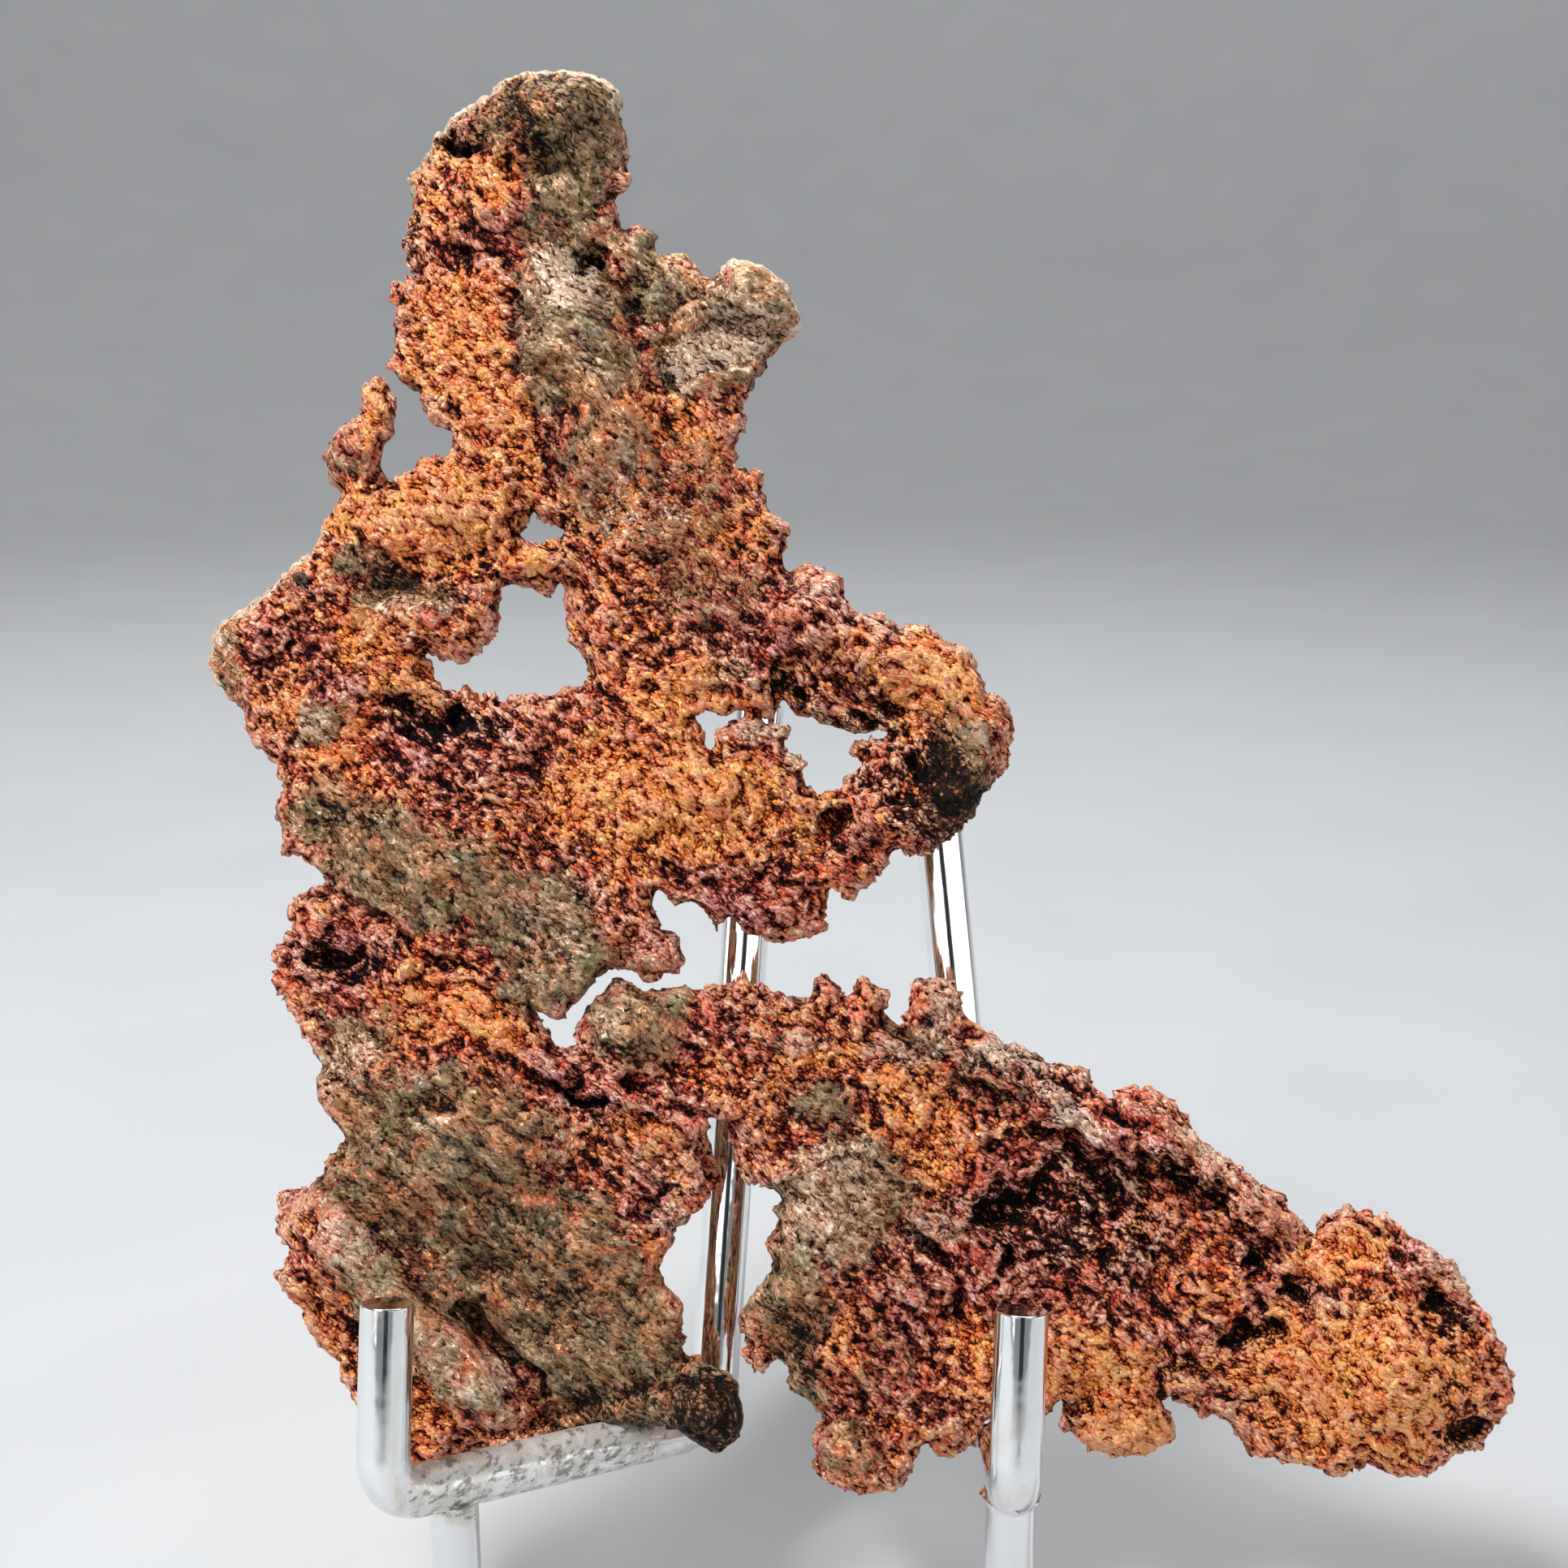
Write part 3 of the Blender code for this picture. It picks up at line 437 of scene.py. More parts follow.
easel = joined("bent_rod_easel", rod_meshes)
easel.data.shade_smooth()
easing = easel.modifiers.new("eased_ends", "BEVEL")
easing.width = ROD_END_EASING * MM
easing.segments = ROD_END_SEGMENTS
easing.limit_method = "ANGLE"
easing.angle_limit = SHARP_ANGLE
easel.data = baked_mesh(easel)
easel.modifiers.clear()
easel.data.shade_smooth()
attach(easel, "root")
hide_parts("rod_easel")


# ---------------------------------------------------------------------------
# Nugget. One thin ragged sheet of native copper, grown in a crack of the
# rock. Its faces are a crust of coarse copper grains; where they were rubbed
# or pressed flat they carry a smooth olive-brown skin, and the hollows keep
# dark red and black oxide, deepened with painted shade. It only rests on the easel.
# ---------------------------------------------------------------------------

SKIN_VOXEL = 0.00052
SKIN_RAISE = 0.12
MERGE_DISTANCE = 1e-6
MOST_TRIANGLES = 196000
ROD_CLEARANCE = 0.1
# The way the sheet grew: the grains are drawn out this many degrees below the right.
GRAIN_TURN = 38.0

# Zones of the front: right, up, half length, half width, turn, strength.
SMOOTH_SKIN = (
    # head, ear and the band down the trunk
    (-28, 82, 14, 7, 10, 1.0), (-26, 73, 7, 9, 0, 1.0), (-27, 67, 8, 5, 0, 0.8),
    (-17, 66, 6, 4, 0, 0.8), (-13, 60, 10, 4, -10, 0.8), (-1, 59, 5, 7, 30, 1.0),
    (-25, 59, 7, 8, 20, 1.0), (-25, 51, 9, 8, 0, 1.0), (-8, 54, 12, 7, 10, 1.0),
    (-22, 39, 8, 11, 20, 0.65), (-12, 36, 7, 10, 20, 0.45), (-14, 27, 12, 7, -60, 0.5),
    (-8, 23, 6, 8, 0, 0.45), (-51, 27, 6, 4, 0, 0.7),
    # left arm and knob
    (-47, 22, 8, 3.4, 5, 0.8), (-68, 17, 3, 7, 0, 0.8), (-57, 8, 3.6, 3.4, 0, 0.7),
    (-54, -4, 10, 5, 0, 0.8), (-54, 40, 4, 4, 0, 0.5),
    # belly
    (-45, -11, 17, 9, -15, 1.0), (-30, -18, 14, 8, -25, 1.0), (-28, -25, 6, 5, 0, 0.9),
    (-52, -33, 7, 6, 0, 0.7),
    # large plate, its strap and the dark roll along its foot
    (-42, -46, 18, 14, 0, 1.1), (-31, -59, 17, 14, -30, 1.2), (-22, -70, 14, 9, 0, 1.0),
    (-8, -78, 7, 8, 0, 1.2), (-45, -66.5, 17, 5.5, -47, 1.0), (-20, -77, 12, 4, 5, 1.0),
    # right-hand part
    (-18, -29, 8, 6, 0, 1.0), (4, -40, 5, 4, 0, 0.7), (7, -51, 11, 9, 0, 1.1),
    (0, -63, 7, 9, 0, 0.9), (3, -73, 5, 6, 0, 0.7), (22, 1, 6, 9, 0, 0.9),
    (17, -30, 6, 4, 0, 0.6), (25, -37, 7, 4, -30, 0.4), (12, -70, 4, 5, 0, 0.4),
    (9, -81, 5, 6, 0, 0.7),
)
GOLDEN = (
    (-42, 33, 12, 8, 0, 1.0), (-53, 34, 4, 5, 0, 0.8), (-30, 27.5, 4, 3.4, 0, 0.9),
    (-39, 54, 8, 11, 10, 0.9), (-35, 45, 5, 9, 20, 0.9), (-36, 72.5, 5, 4, 0, 0.7),
    (-42, 69, 3, 3, 0, 0.6), (-42, 76, 4, 3, 40, 0.5), (-52, 18, 6, 4, 0, 0.9),
    (-55, 5, 4, 5, 0, 0.9), (-60, 11, 5, 4, 0, 0.4), (-47, 13, 6, 4, 0, 0.8),
    (-52, -1, 5, 3, 0, 0.6), (-14, 10, 9, 6, 0, 0.9), (-13, -3, 14, 8, 0, 1.0),
    (-26, -4, 6, 5, 0, 0.7), (-25, 2, 7, 6, 0, 0.6), (-14, 22, 9, 8, 0, 0.5),
    (18, 12, 7, 7, 0, 1.0), (-38, -27.5, 11, 4, -22, 0.9),
    (-47, -29, 5, 4, 0, 0.5), (18, -44, 7, 8, 0, 0.7), (41, -79, 8, 5, 0, 2.2),
    (36, -71, 9, 7, 0, 1.0), (70, -73, 17, 12, 0, 1.0), (68, -56, 6, 4, 0, 1.0),
    (-50, 46, 3, 6, 0, 0.5), (-13, 41, 7, 6, 0, 0.7), (-18, 44, 9, 5, -30, 0.7),
    (-20, 34, 8, 8, 0, 0.85), (-10, 30, 7, 6, 0, 0.6),
    (-22, -58, 5, 3, 0, 0.4), (-16, -43, 6, 3, -40, 0.8), (5, -4, 6, 6, 0, 0.5),
    (50, -60, 8, 5, 0, 0.7), (-22, -10, 5, 4, 0, 0.4), (-57, -62, 4, 8, 0, 0.7),
    (-15, -60, 3, 6, 0, 0.7), (8, -68, 4, 7, 0, 0.6), (13, -80, 6, 6, 0, 0.6),
    (7, -51, 9, 7, 0, 0.5),
    (24, -70, 6, 8, 0, 0.6), (3, -33, 8, 4, 0, 0.5), (15, -37, 6, 4, 0, 0.6),
    (-50, -80, 6, 3, 0, 0.5), (-43, -76, 5, 4, 0, 0.7), (-10, -36, 6, 3, -20, 0.4),
    (-7, 30, 5, 6, 0, 0.4),
)
RED_OXIDE_AND_SHADE = (
    (-36, 66, 9, 4, 0, 1.0), (-20, 54, 4, 4, 0, 0.8), (-61, 16, 5, 5, 0, 0.8),
    (-55, 12, 4, 2, 20, 1.0), (-40, 5, 11, 5, -10, 1.0), (-5, 20, 10, 9, 0, 0.7),
    (-15, 24, 6, 11, 0, 0.4), (4, 20, 5, 6, 0, 0.6), (-5, -14, 9, 6, 0, 0.9),
    (8, -7, 5, 5, 0, 0.8), (-54, -22, 9, 6, -20, 1.0), (-26, -36, 7, 5, -20, 0.8),
    (-10, -31, 6, 5, 0, 0.8), (-12, -40, 9, 4, -20, 0.6), (22, -60, 9, 7, 0, 0.7),
    (31, -60, 9, 7, 0, 0.8), (33, -50, 15, 9, 20, 0.8), (46, -62, 11, 8, 0, 0.5),
    (12, -77, 7, 9, 0, 0.7), (13, -65, 7, 7, 0, 0.7), (56, -62, 8, 8, 0, 0.5),
    (38, -40, 13, 5, -30, 0.7), (76, -57, 5, 3, -40, 0.8), (-58, -60, 4, 6, 0, 0.7),
    (-13, -58, 3, 8, 0, 0.9), (-38, -3, 5, 4, 0, 0.5), (-16, -19, 4, 4, 0, 0.6),
    # the thin row at (-43.5, -58) is a painted shading line on the plate beside the raised strap
    (-17, -50, 4, 6, -30, 0.7), (-43, -69, 13, 4, -45, 0.9), (-43.5, -58, 9, 1.6, -48, 0.8),
)
# Dark patches: black oxide, and painted shadow in the pits, under the head's brow, under the
# crests and along the bottom roll.
BLACK_OXIDE_AND_SHADOW = (
    (-40, 77.5, 5, 3.2, 0, 1.0), (-31, 76, 4, 1.8, -10, 0.9), (-45, 67, 2.4, 5, 0, 0.9),
    (-29, 82, 13, 6, 0, 0.55), (-40, 64, 6, 2.6, 0, 0.6),
    (-23.6, 64.3, 2, 1.4, -20, 0.8), (-19.5, 60, 1.6, 1.4, 0, 0.7),
    (-40.5, 7.5, 10, 4.5, -12, 1.0), (-48, 24.5, 6, 2, 0, 0.5), (-26.5, 30, 2.6, 5, 0, 0.8),
    (1, 12, 4.5, 3, 0, 0.9), (9, 8.5, 7, 2.6, 0, 1.0), (20, -2, 9, 9, 20, 1.2),
    (12, 1, 4, 6, 0, 0.7), (-54, -21, 9, 4, -15, 0.7), (-25, -37, 6, 3, -30, 0.8),
    (27, -51, 9, 4, 25, 1.0), (34, -48, 7, 4, 20, 0.7), (36, -55, 14, 7, 0, 0.9),
    (50, -48, 8, 2.4, -28, 1.0), (40, -48.5, 4, 4, 0, 0.7), (31, -37, 9, 4, -25, 0.6),
    (58, -58, 3.4, 2.8, 0, 0.8), (62.5, -61.5, 3.4, 2.8, 0, 0.8), (57, -67.5, 5, 3, 0, 0.8),
    (79.5, -64, 4.4, 2.4, -30, 0.9), (80.5, -72.5, 3, 1.8, -10, 0.8), (84, -79.5, 5, 4, 0, 0.8),
    (-7, -78, 9, 8, 0, 1.2), (-20, -77, 14, 3.4, 6, 0.8), (2, -69, 6, 8, 0, 0.6),
    (50, -72, 5, 3, 0, 0.6), (-52, -4, 8, 3, 0, 0.4), (-37, -53, 14, 5, -25, 0.2),
    (-28, -64, 10, 5, -20, 0.35), (-42.2, -37.6, 2.8, 1.5, 0, 0.4), (-20, -32, 5, 2.4, 0, 0.5),
)
# Pale pinkish grey worn patches; the thin strokes along crests and rims are painted highlights.
PALE_WEAR_AND_HIGHLIGHTS = (
    (-26, 61, 4.5, 6, 25, 1.0), (-24, 52, 4, 4, 0, 0.4), (-8, 53.5, 9, 3.6, 15, 1.2),
    (-15, 66, 6, 4, -10, 0.3), (-19.8, 77, 1.4, 7, 0, 0.6), (-44, 20.5, 8, 2.4, 5, 0.45),
    (-57.5, 8, 3, 2.6, 0, 0.7), (-30, 10, 8, 2.2, 0, 0.35), (-6, 12.5, 5, 2.6, 0, 0.5),
    (-24, -12, 7, 5, 0, 0.4), (-29, -19, 8, 6, 0, 0.45), (-15, -46, 6, 5, 0, 0.45),
    (-13, -52, 3, 4, 0, 0.6), (14, -33, 7, 3, 0, 0.6), (27, -33.5, 7, 2.6, -15, 0.8),
    (0, -30, 8, 3, 0, 0.5), (18, -55, 4, 3, 0, 0.6), (42, -50, 4, 3, 0, 0.5),
    (33, -38.5, 12, 1.5, -36, 0.8), (53, -45.8, 11, 1.3, -36, 0.7),
    (81, -59, 5, 2.4, -40, 0.55), (22, 15, 6, 3, -50, 0.6), (11, 19.5, 7, 2.6, -15, 0.6),
    (4, 24, 5, 2.6, -30, 0.6), (65, -62, 4, 4, 0, 0.4), (6, -51, 10, 10, 0, 0.6),
    (-18, 35, 8, 9, 0, 0.45),
    (-2, 5, 7, 2.6, -10, 0.6), (18, -26, 4, 4, 0, 0.6), (-68.5, 18, 2.2, 5, 0, 0.5),
    (-53.5, -56, 5, 4, -50, 0.6), (-43.5, -69, 14, 4.5, -45, 0.42),
    (-42.5, -40.2, 3, 0.8, 10, 0.8), (-36, -73, 5, 3, -40, 0.5),
    (-53, -33, 5, 5, 0, 0.45), (57, -76, 4, 3, 0, 0.4), (-22, -28, 4, 3, 0, 0.35),
    (20, -31, 4, 3, 0, 0.5), (-7, 59, 5, 3, 0, 0.35),
)
# Painted highlights along the top rims, where the light catches them: points along each rim, half
# width.
RIM_HIGHLIGHTS = (
    (((-46, 74.8), (-43.4, 78.5), (-41, 81.8), (-34.6, 86.2), (-27.6, 87.5), (-22, 86.4),
      (-20.2, 84)), 0.55),
    (((-6.6, 64.4), (-2.8, 63.7), (0, 61.5), (1.8, 58.5), (2, 56)), 0.5),
    (((-70.6, 14), (-70, 18.2), (-68.5, 20.3), (-62.5, 24.3), (-57, 29)), 0.5),
)
# Ledges: points along each, height, reach. The side to the left of the line stands
# higher, and the side to the right where the height is negative.
LEDGES = (
    (((-26.0, 74.0), (-28.5, 76.8), (-33.0, 78.4), (-38.0, 78.8), (-42.0, 79.5)), 0.5, 2.0),
    (((-13.5, 48.4), (-8.0, 50.6), (-2.5, 52.0)), -0.7, 2.0),
    (((-7.5, 58.6), (-1.5, 55.8), (1.2, 55.2)), 0.7, 1.6),
    (((-30.5, -34.0), (-25.0, -37.4), (-17.0, -39.8), (-9.0, -43.0)), 0.8, 2.0),
    (((-44.0, -23.5), (-37.0, -24.0), (-31.0, -27.5)), 0.7, 1.8),
    (((-57.0, -12.5), (-50.0, -15.0), (-44.0, -20.0), (-38.0, -22.5)), 0.8, 2.0),
    (((-0.6, -47.8), (4.0, -46.2), (9.4, -45.4), (13.0, -47.5)), 0.6, 1.6),
    (((24.0, -36.0), (33.0, -41.5), (41.0, -44.0), (50.0, -49.0), (58.0, -54.0)), 1.0, 2.2),
    (((72.0, -54.0), (76.5, -58.0), (79.5, -62.5), (83.0, -66.0)), 1.1, 2.4),
    (((-30.0, 61.0), (-31.5, 52.0), (-29.0, 44.0), (-26.0, 36.0)), 0.15, 1.8),
)
# Raised bands: points along each band, half width, rise.
BANDS = (
    (((-58, -53), (-53, -59), (-45.5, -67), (-37.5, -74.5), (-32, -80.5)), 5.2, 1.4),
    (((-34, -80.5), (-27, -79), (-20, -77.6), (-14, -75.6), (-9, -75.5)), 2.6, 1.5),
    (((-20, -34), (-13, -37.6), (-7, -39)), 1.6, 0.8),
    (((-47, -24), (-41, -25.5), (-35, -29)), 2.2, 0.3),
    (((-18, 55), (-11, 57), (-5, 59.5)), 1.6, 0.6),
    (((24, -31.8), (31, -37), (37.5, -41.6), (43, -46)), 1.2, 0.9),
    (((42, -39), (48, -42.6), (54, -47.2), (60.5, -52.5)), 1.2, 0.7),
)
# Cracks: points along each crack, half width, depth.
CRACKS = (
    (((-38.5, -64.8), (-33.7, -69.6), (-29.5, -74.4)), 0.9, 1.8),
    (((-18.6, 47.7), (-12.9, 48.3)), 0.45, 0.9),
    (((-41.0, -13.0), (-40.6, -18.5)), 0.45, 0.7),
    (((16.4, -56.4), (20.5, -59.0), (23.4, -67.0)), 0.7, 1.3),
    (((73.5, -54.5), (77.5, -58.8), (80.0, -62.5), (82.0, -63.5)), 0.7, 1.5),
    (((-28.4, -36.2), (-25.5, -37.2), (-22.4, -38.6)), 0.9, 1.4),
    (((-39.0, -41.0), (-33.5, -42.0), (-30.0, -44.5)), 0.4, 0.5),
    (((-44.0, 1.0), (-38.5, 0.0), (-34.0, -2.5)), 0.5, 0.6),
)
# Pits and hollows: right, up, half length, half width, turn, depth.
HOLLOWS = (
    (-31, 76.2, 3.4, 1.2, -10, 0.8), (-39, 77.3, 2.6, 2.0, 0, 2.0), (-45, 72.3, 1.4, 1.4, 0, 1.0),
    (-45.4, 68.2, 1.5, 2.4, 0, 1.6), (-23.6, 64.2, 1.7, 1.1, -20, 1.3),
    (-19.6, 60.1, 1.4, 1.1, 0, 1.3), (-42, 8, 6, 2.4, -12, 1.6), (1, 12, 2.4, 1.8, 0, 1.5),
    (6.5, -5.5, 2.6, 1.8, 0, 1.3), (-54, -21.5, 5.5, 2.4, -15, 1.6),
    (-25, -37.2, 3.4, 1.4, -25, 1.5), (26.5, -51.3, 6, 2.4, 25, 2.2),
    (33.5, -48, 3.6, 1.8, 20, 1.5), (50, -48.3, 6, 1.6, -28, 2.0),
    (39, -49, 2.0, 2.4, 0, 1.4), (58, -58, 1.8, 1.8, 0, 1.7), (62.5, -61.5, 2.0, 1.7, 0, 1.6),
    (57.3, -67.5, 3.0, 1.8, 0, 1.5), (79.4, -64.0, 3.0, 1.5, -30, 1.9),
    (80.5, -72.5, 1.8, 0.9, -10, 1.3), (83.8, -79.2, 2.4, 2.0, 0, 1.2),
    (50.5, -72, 2.2, 1.5, 0, 1.3), (-42.5, -37.8, 3.2, 1.9, 0, 1.3), (-17, 57, 1.6, 1.1, 0, 0.7),
)

# How ragged the zones' borders are: wave length and how far a wave shifts them.
BORDER_WAVES = ((8.0, 3.0), (2.6, 1.8))


def ragged(points):
    """Shift points by noise so that a zone's border comes out ragged."""
    moved = points.copy()
    for size, amount in BORDER_WAVES:
        for axis in (0, 1):
            offset = Vector((17.0 * axis, 5.0, 11.0))
            moved[:, axis] += amount * np.array([noise.noise(Vector(p) / size + offset)
                                                 for p in points])
    return moved


def patches(points, rows, sharpness=1.3, power=1.0):
    """Strength at each point: the strongest patch there, fading to its border."""
    total = np.zeros(len(points))
    for x, y, length, width, turn, strength in rows:
        cosine, sine = math.cos(math.radians(turn)), math.sin(math.radians(turn))
        dx, dy = points[:, 0] - x, points[:, 1] - y
        along = (dx * cosine + dy * sine) / length
        across = (dy * cosine - dx * sine) / width
        share = np.clip(sharpness * (1.0 - along**2 - across**2), 0.0, 1.0) ** power
        total = np.maximum(total, strength * share)
    return total


def beside_line(points, line):
    """Distance from a line in the sheet's plane; 1 on the line's left, -1 on its right."""
    nearest = np.full(len(points), np.inf)
    side = np.zeros(len(points))
    for start, end in zip(line, line[1:]):
        start, end = np.array(start, float), np.array(end, float)
        along = end - start
        share = np.clip((points[:, :2] - start) @ along / (along @ along), 0.0, 1.0)
        offset = points[:, :2] - start - share[:, None] * along
        distance = np.hypot(offset[:, 0], offset[:, 1])
        turn = along[0] * offset[:, 1] - along[1] * offset[:, 0]
        side = np.where(distance < nearest, np.sign(turn), side)
        nearest = np.minimum(nearest, distance)
    return nearest, side


def waves(points, size, octaves=3, offset=0.0):
    """Fractal noise about -1 to 1 with lumps of the given size."""
    shift = Vector((offset, offset * 0.7, -offset))
    return np.array([noise.fractal(Vector(p) / size + shift, 0.9, 2.0, octaves) for p in points])


# Grain centres are spread by this before they are given a lot, so that neighbours differ.
CELL_SPREAD = 7.3
FACET_SLOPE = 2.0


def grains(points, size, offset=0.0):
    """Distance to the nearest grain's centre, its lot and its tilted face's height."""
    shift = Vector((offset, -offset, offset * 0.5))
    near, lot, tilt = [], [], []
    for p in points:
        place = Vector(p) / size + shift
        distances, centres = noise.voronoi(place)
        slope = noise.cell_vector(centres[0] * CELL_SPREAD) - Vector((0.5, 0.5, 0.5))
        near.append(distances[0])
        lot.append(noise.cell(centres[0] * CELL_SPREAD))
        tilt.append(FACET_SLOPE * (place - centres[0]).dot(slope))
    return np.array(near), np.array(lot), np.array(tilt)


def smoothed(values, edges, count):
    """Average each vertex with its neighbours, again and again."""
    total = len(values)
    links = np.bincount(edges.ravel(), minlength=total)
    values = values.copy()
    for _ in range(count):
        sums = np.zeros_like(values)
        for axis in range(values.shape[1]):
            sums[:, axis] = np.bincount(edges[:, 0], values[edges[:, 1], axis], total)
            sums[:, axis] += np.bincount(edges[:, 1], values[edges[:, 0], axis], total)
        values = sums / links[:, None]
    return values


def kept_off_rod(points, corners, reach):
    """Push points that are nearer to a bent rod's middle line than reach outwards."""
    points = points.copy()
    line = np.array([corner[:3] for corner in corners])
    for start, end in zip(line, line[1:]):
        along = end - start
        share = np.clip((points - start) @ along / (along @ along), 0.0, 1.0)
        middle = start + share[:, None] * along
        offset = points - middle
        distance = np.linalg.norm(offset, axis=1)
        inside = distance < reach
        points[inside] = middle[inside] + offset[inside] * (reach / distance[inside])[:, None]
    return points


def mesh_arrays(mesh):
    """Return a mesh's points, its normals and its edges as arrays."""
    count = len(mesh.vertices)
    points = np.zeros(count * 3)
    normals = np.zeros(count * 3)
    edges = np.zeros(len(mesh.edges) * 2, np.int64)
    mesh.vertices.foreach_get("co", points)
    mesh.vertices.foreach_get("normal", normals)
    mesh.edges.foreach_get("vertices", edges)
    return points.reshape(-1, 3), normals.reshape(-1, 3), edges.reshape(-1, 2)


def remeshed_sheet():
    """Copy the solid sheet and cover it with an even mesh of small squares."""
    merged = bmesh.new()
    merged.from_mesh(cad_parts["copper_nugget"].data)
    bmesh.ops.remove_doubles(merged, verts=merged.verts, dist=MERGE_DISTANCE)
    for vertex in merged.verts:
        vertex.co += vertex.normal * SKIN_RAISE * MM
    mesh = bpy.data.meshes.new("native_copper")
    merged.to_mesh(mesh)
    merged.free()
    sheet = linked_object("native_copper", mesh)
    remesh = sheet.modifiers.new("even_mesh", "REMESH")
    remesh.mode = "VOXEL"
    remesh.voxel_size = SKIN_VOXEL
    sheet.data = baked_mesh(sheet)
    sheet.modifiers.clear()
    return sheet


nugget = remeshed_sheet()
surface, normals, edges = mesh_arrays(nugget.data)
skin = world_to_sheet(surface)
facing = normals @ SHEET_AXES.T
front = np.clip((facing[:, 2] + 0.35) / 0.6, 0.0, 1.0)
rubbed = ragged(skin)


def zone_strength(rows, size, offset, gain, level, most):
    """A zone's strength: from its table on the front, from broad noise on the back."""
    behind = np.clip(waves(skin, size, 3, offset) * gain + level, 0.0, most)
    return front * patches(rubbed, rows) + (1 - front) * behind


smooth_skin = zone_strength(SMOOTH_SKIN, 14.0, 31.0, 2.4, 0.55, 1.0)
golden = zone_strength(GOLDEN, 12.0, 63.0, 2.2, 0.1, 0.8)
red_oxide = zone_strength(RED_OXIDE_AND_SHADE, 11.0, 47.0, 2.2, 0.1, 0.8)
black_oxide = zone_strength(BLACK_OXIDE_AND_SHADOW, 8.0, 79.0, 2.6, -0.5, 0.8)
pale = front * patches(rubbed, PALE_WEAR_AND_HIGHLIGHTS)

# the top rims get a painted highlight: pale and smooth, without black oxide
for line, half_width in RIM_HIGHLIGHTS:
    distance, _ = beside_line(skin, line)
    rim_highlight = np.clip(2.0 - distance / (3.0 * half_width), 0.0, 1.0)
    rim_highlight *= front * np.clip((0.80 - facing[:, 2]) * 3.0, 0.0, 1.0)
    pale = np.maximum(pale, 1.6 * rim_highlight)
    smooth_skin = np.maximum(smooth_skin, rim_highlight)
    black_oxide *= 1.0 - rim_highlight

# where the surface turns away from the front, outside the pale patches, it gets more dark red and
# black and less gold
turned_edge = np.clip(1.25 - 1.5 * facing[:, 2], 0.0, 1.0)
turned_edge *= front * (1.0 - np.clip(pale, 0.0, 1.0))
red_oxide = np.maximum(red_oxide, 0.55 * turned_edge)
black_oxide = np.maximum(black_oxide, 0.40 * turned_edge)
golden *= 1.0 - 0.5 * turned_edge

# crumbs and grains, drawn out along the way the sheet grew
BIG_GRAIN = 2.2
SMALL_GRAIN = 1.1
GRAIN_STRETCH = 0.65
SWAY = 2.5
SWAY_LENGTH = 12.0
WOBBLE = 0.6
WOBBLE_LENGTH = 1.9
# Heights of the relief in mm.
SWELL = 0.32
RIPPLE = 0.20
FOLD = 0.14
BIG_GRAIN_DOME = 0.20
BIG_GRAIN_STEP = 0.20
BIG_FACET = 0.55
SMALL_GRAIN_DOME = 0.16
SMALL_GRAIN_STEP = 0.10
SMALL_FACET = 0.40
SHRED = 0.30
CRUMBLE = 0.34
PIT = 2.6
TERRACE = 0.13
SCUFF = 0.20

rough = 1.0 - 0.85 * smooth_skin
crumbly = np.clip(0.15 + 0.60 * red_oxide + 0.9 * black_oxide - 0.3 * golden, 0.0, 1.0) * rough
cosine, sine = math.cos(math.radians(-GRAIN_TURN)), math.sin(math.radians(-GRAIN_TURN))
swayed = skin + SWAY * np.column_stack(
    [waves(skin, SWAY_LENGTH, 1, offset) for offset in (71.0, 73.0, 75.0)])
grown = np.column_stack([
    (swayed[:, 0] * cosine + swayed[:, 1] * sine) * GRAIN_STRETCH,
    swayed[:, 1] * cosine - swayed[:, 0] * sine,
    skin[:, 2],
])
wobble = grown + WOBBLE * np.column_stack(
    [waves(skin, WOBBLE_LENGTH, 2, offset) for offset in (3.0, 9.0, 15.0)])
near_big, lot_big, tilt_big = grains(wobble, BIG_GRAIN)
near_small, lot_small, tilt_small = grains(wobble, SMALL_GRAIN, 21.0)
rugged = waves(grown, 2.8, 4, 5.0)
shred = waves(grown, 1.15, 3, 13.0)

# the relief in mm: swells and folds everywhere, grains and crumbs where it is rough
fold = 1.0 - 2.2 * np.abs(waves(grown * (0.55, 1.1, 1.0), 2.7, 2, 51.0))
brink = 1.0 + 0.6 * np.clip(1.0 - np.abs(facing[:, 2]) * 1.4, 0.0, 1.0)
height = SWELL * waves(skin, 7.0, 2, 41.0) + RIPPLE * waves(grown, 2.6, 2, 43.0)
height += (FOLD + FOLD * smooth_skin) * fold
height += crumbly * (BIG_GRAIN_DOME * (0.50 - near_big) + BIG_GRAIN_STEP * lot_big)
height += brink * rough * (SMALL_GRAIN_DOME * (0.50 - near_small) + SMALL_GRAIN_STEP * lot_small)
height += (0.08 + 0.92 * rough) * (BIG_FACET * tilt_big + SMALL_FACET * brink * tilt_small)
height += brink * rough * SHRED * shred + crumbly * CRUMBLE * rugged
height += (brink - 1.0) * (0.30 * (0.50 - near_big) + 0.25 * lot_big - 0.10)
height -= crumbly * PIT * np.clip(-0.22 - rugged, 0.0, 0.5)

# the smooth skin flakes off in thin terraces
flake = waves(grown * (0.9, 1.3, 1.0), 4.5, 3, 27.0) * 5.0
above_flake = flake - np.floor(flake)
terrace = np.floor(flake) + np.clip((above_flake - 0.40) / 0.2, 0.0, 1.0)
height += (1.0 - rough) * (TERRACE * (terrace - flake) + SCUFF * waves(grown, 1.2, 3, 37.0))

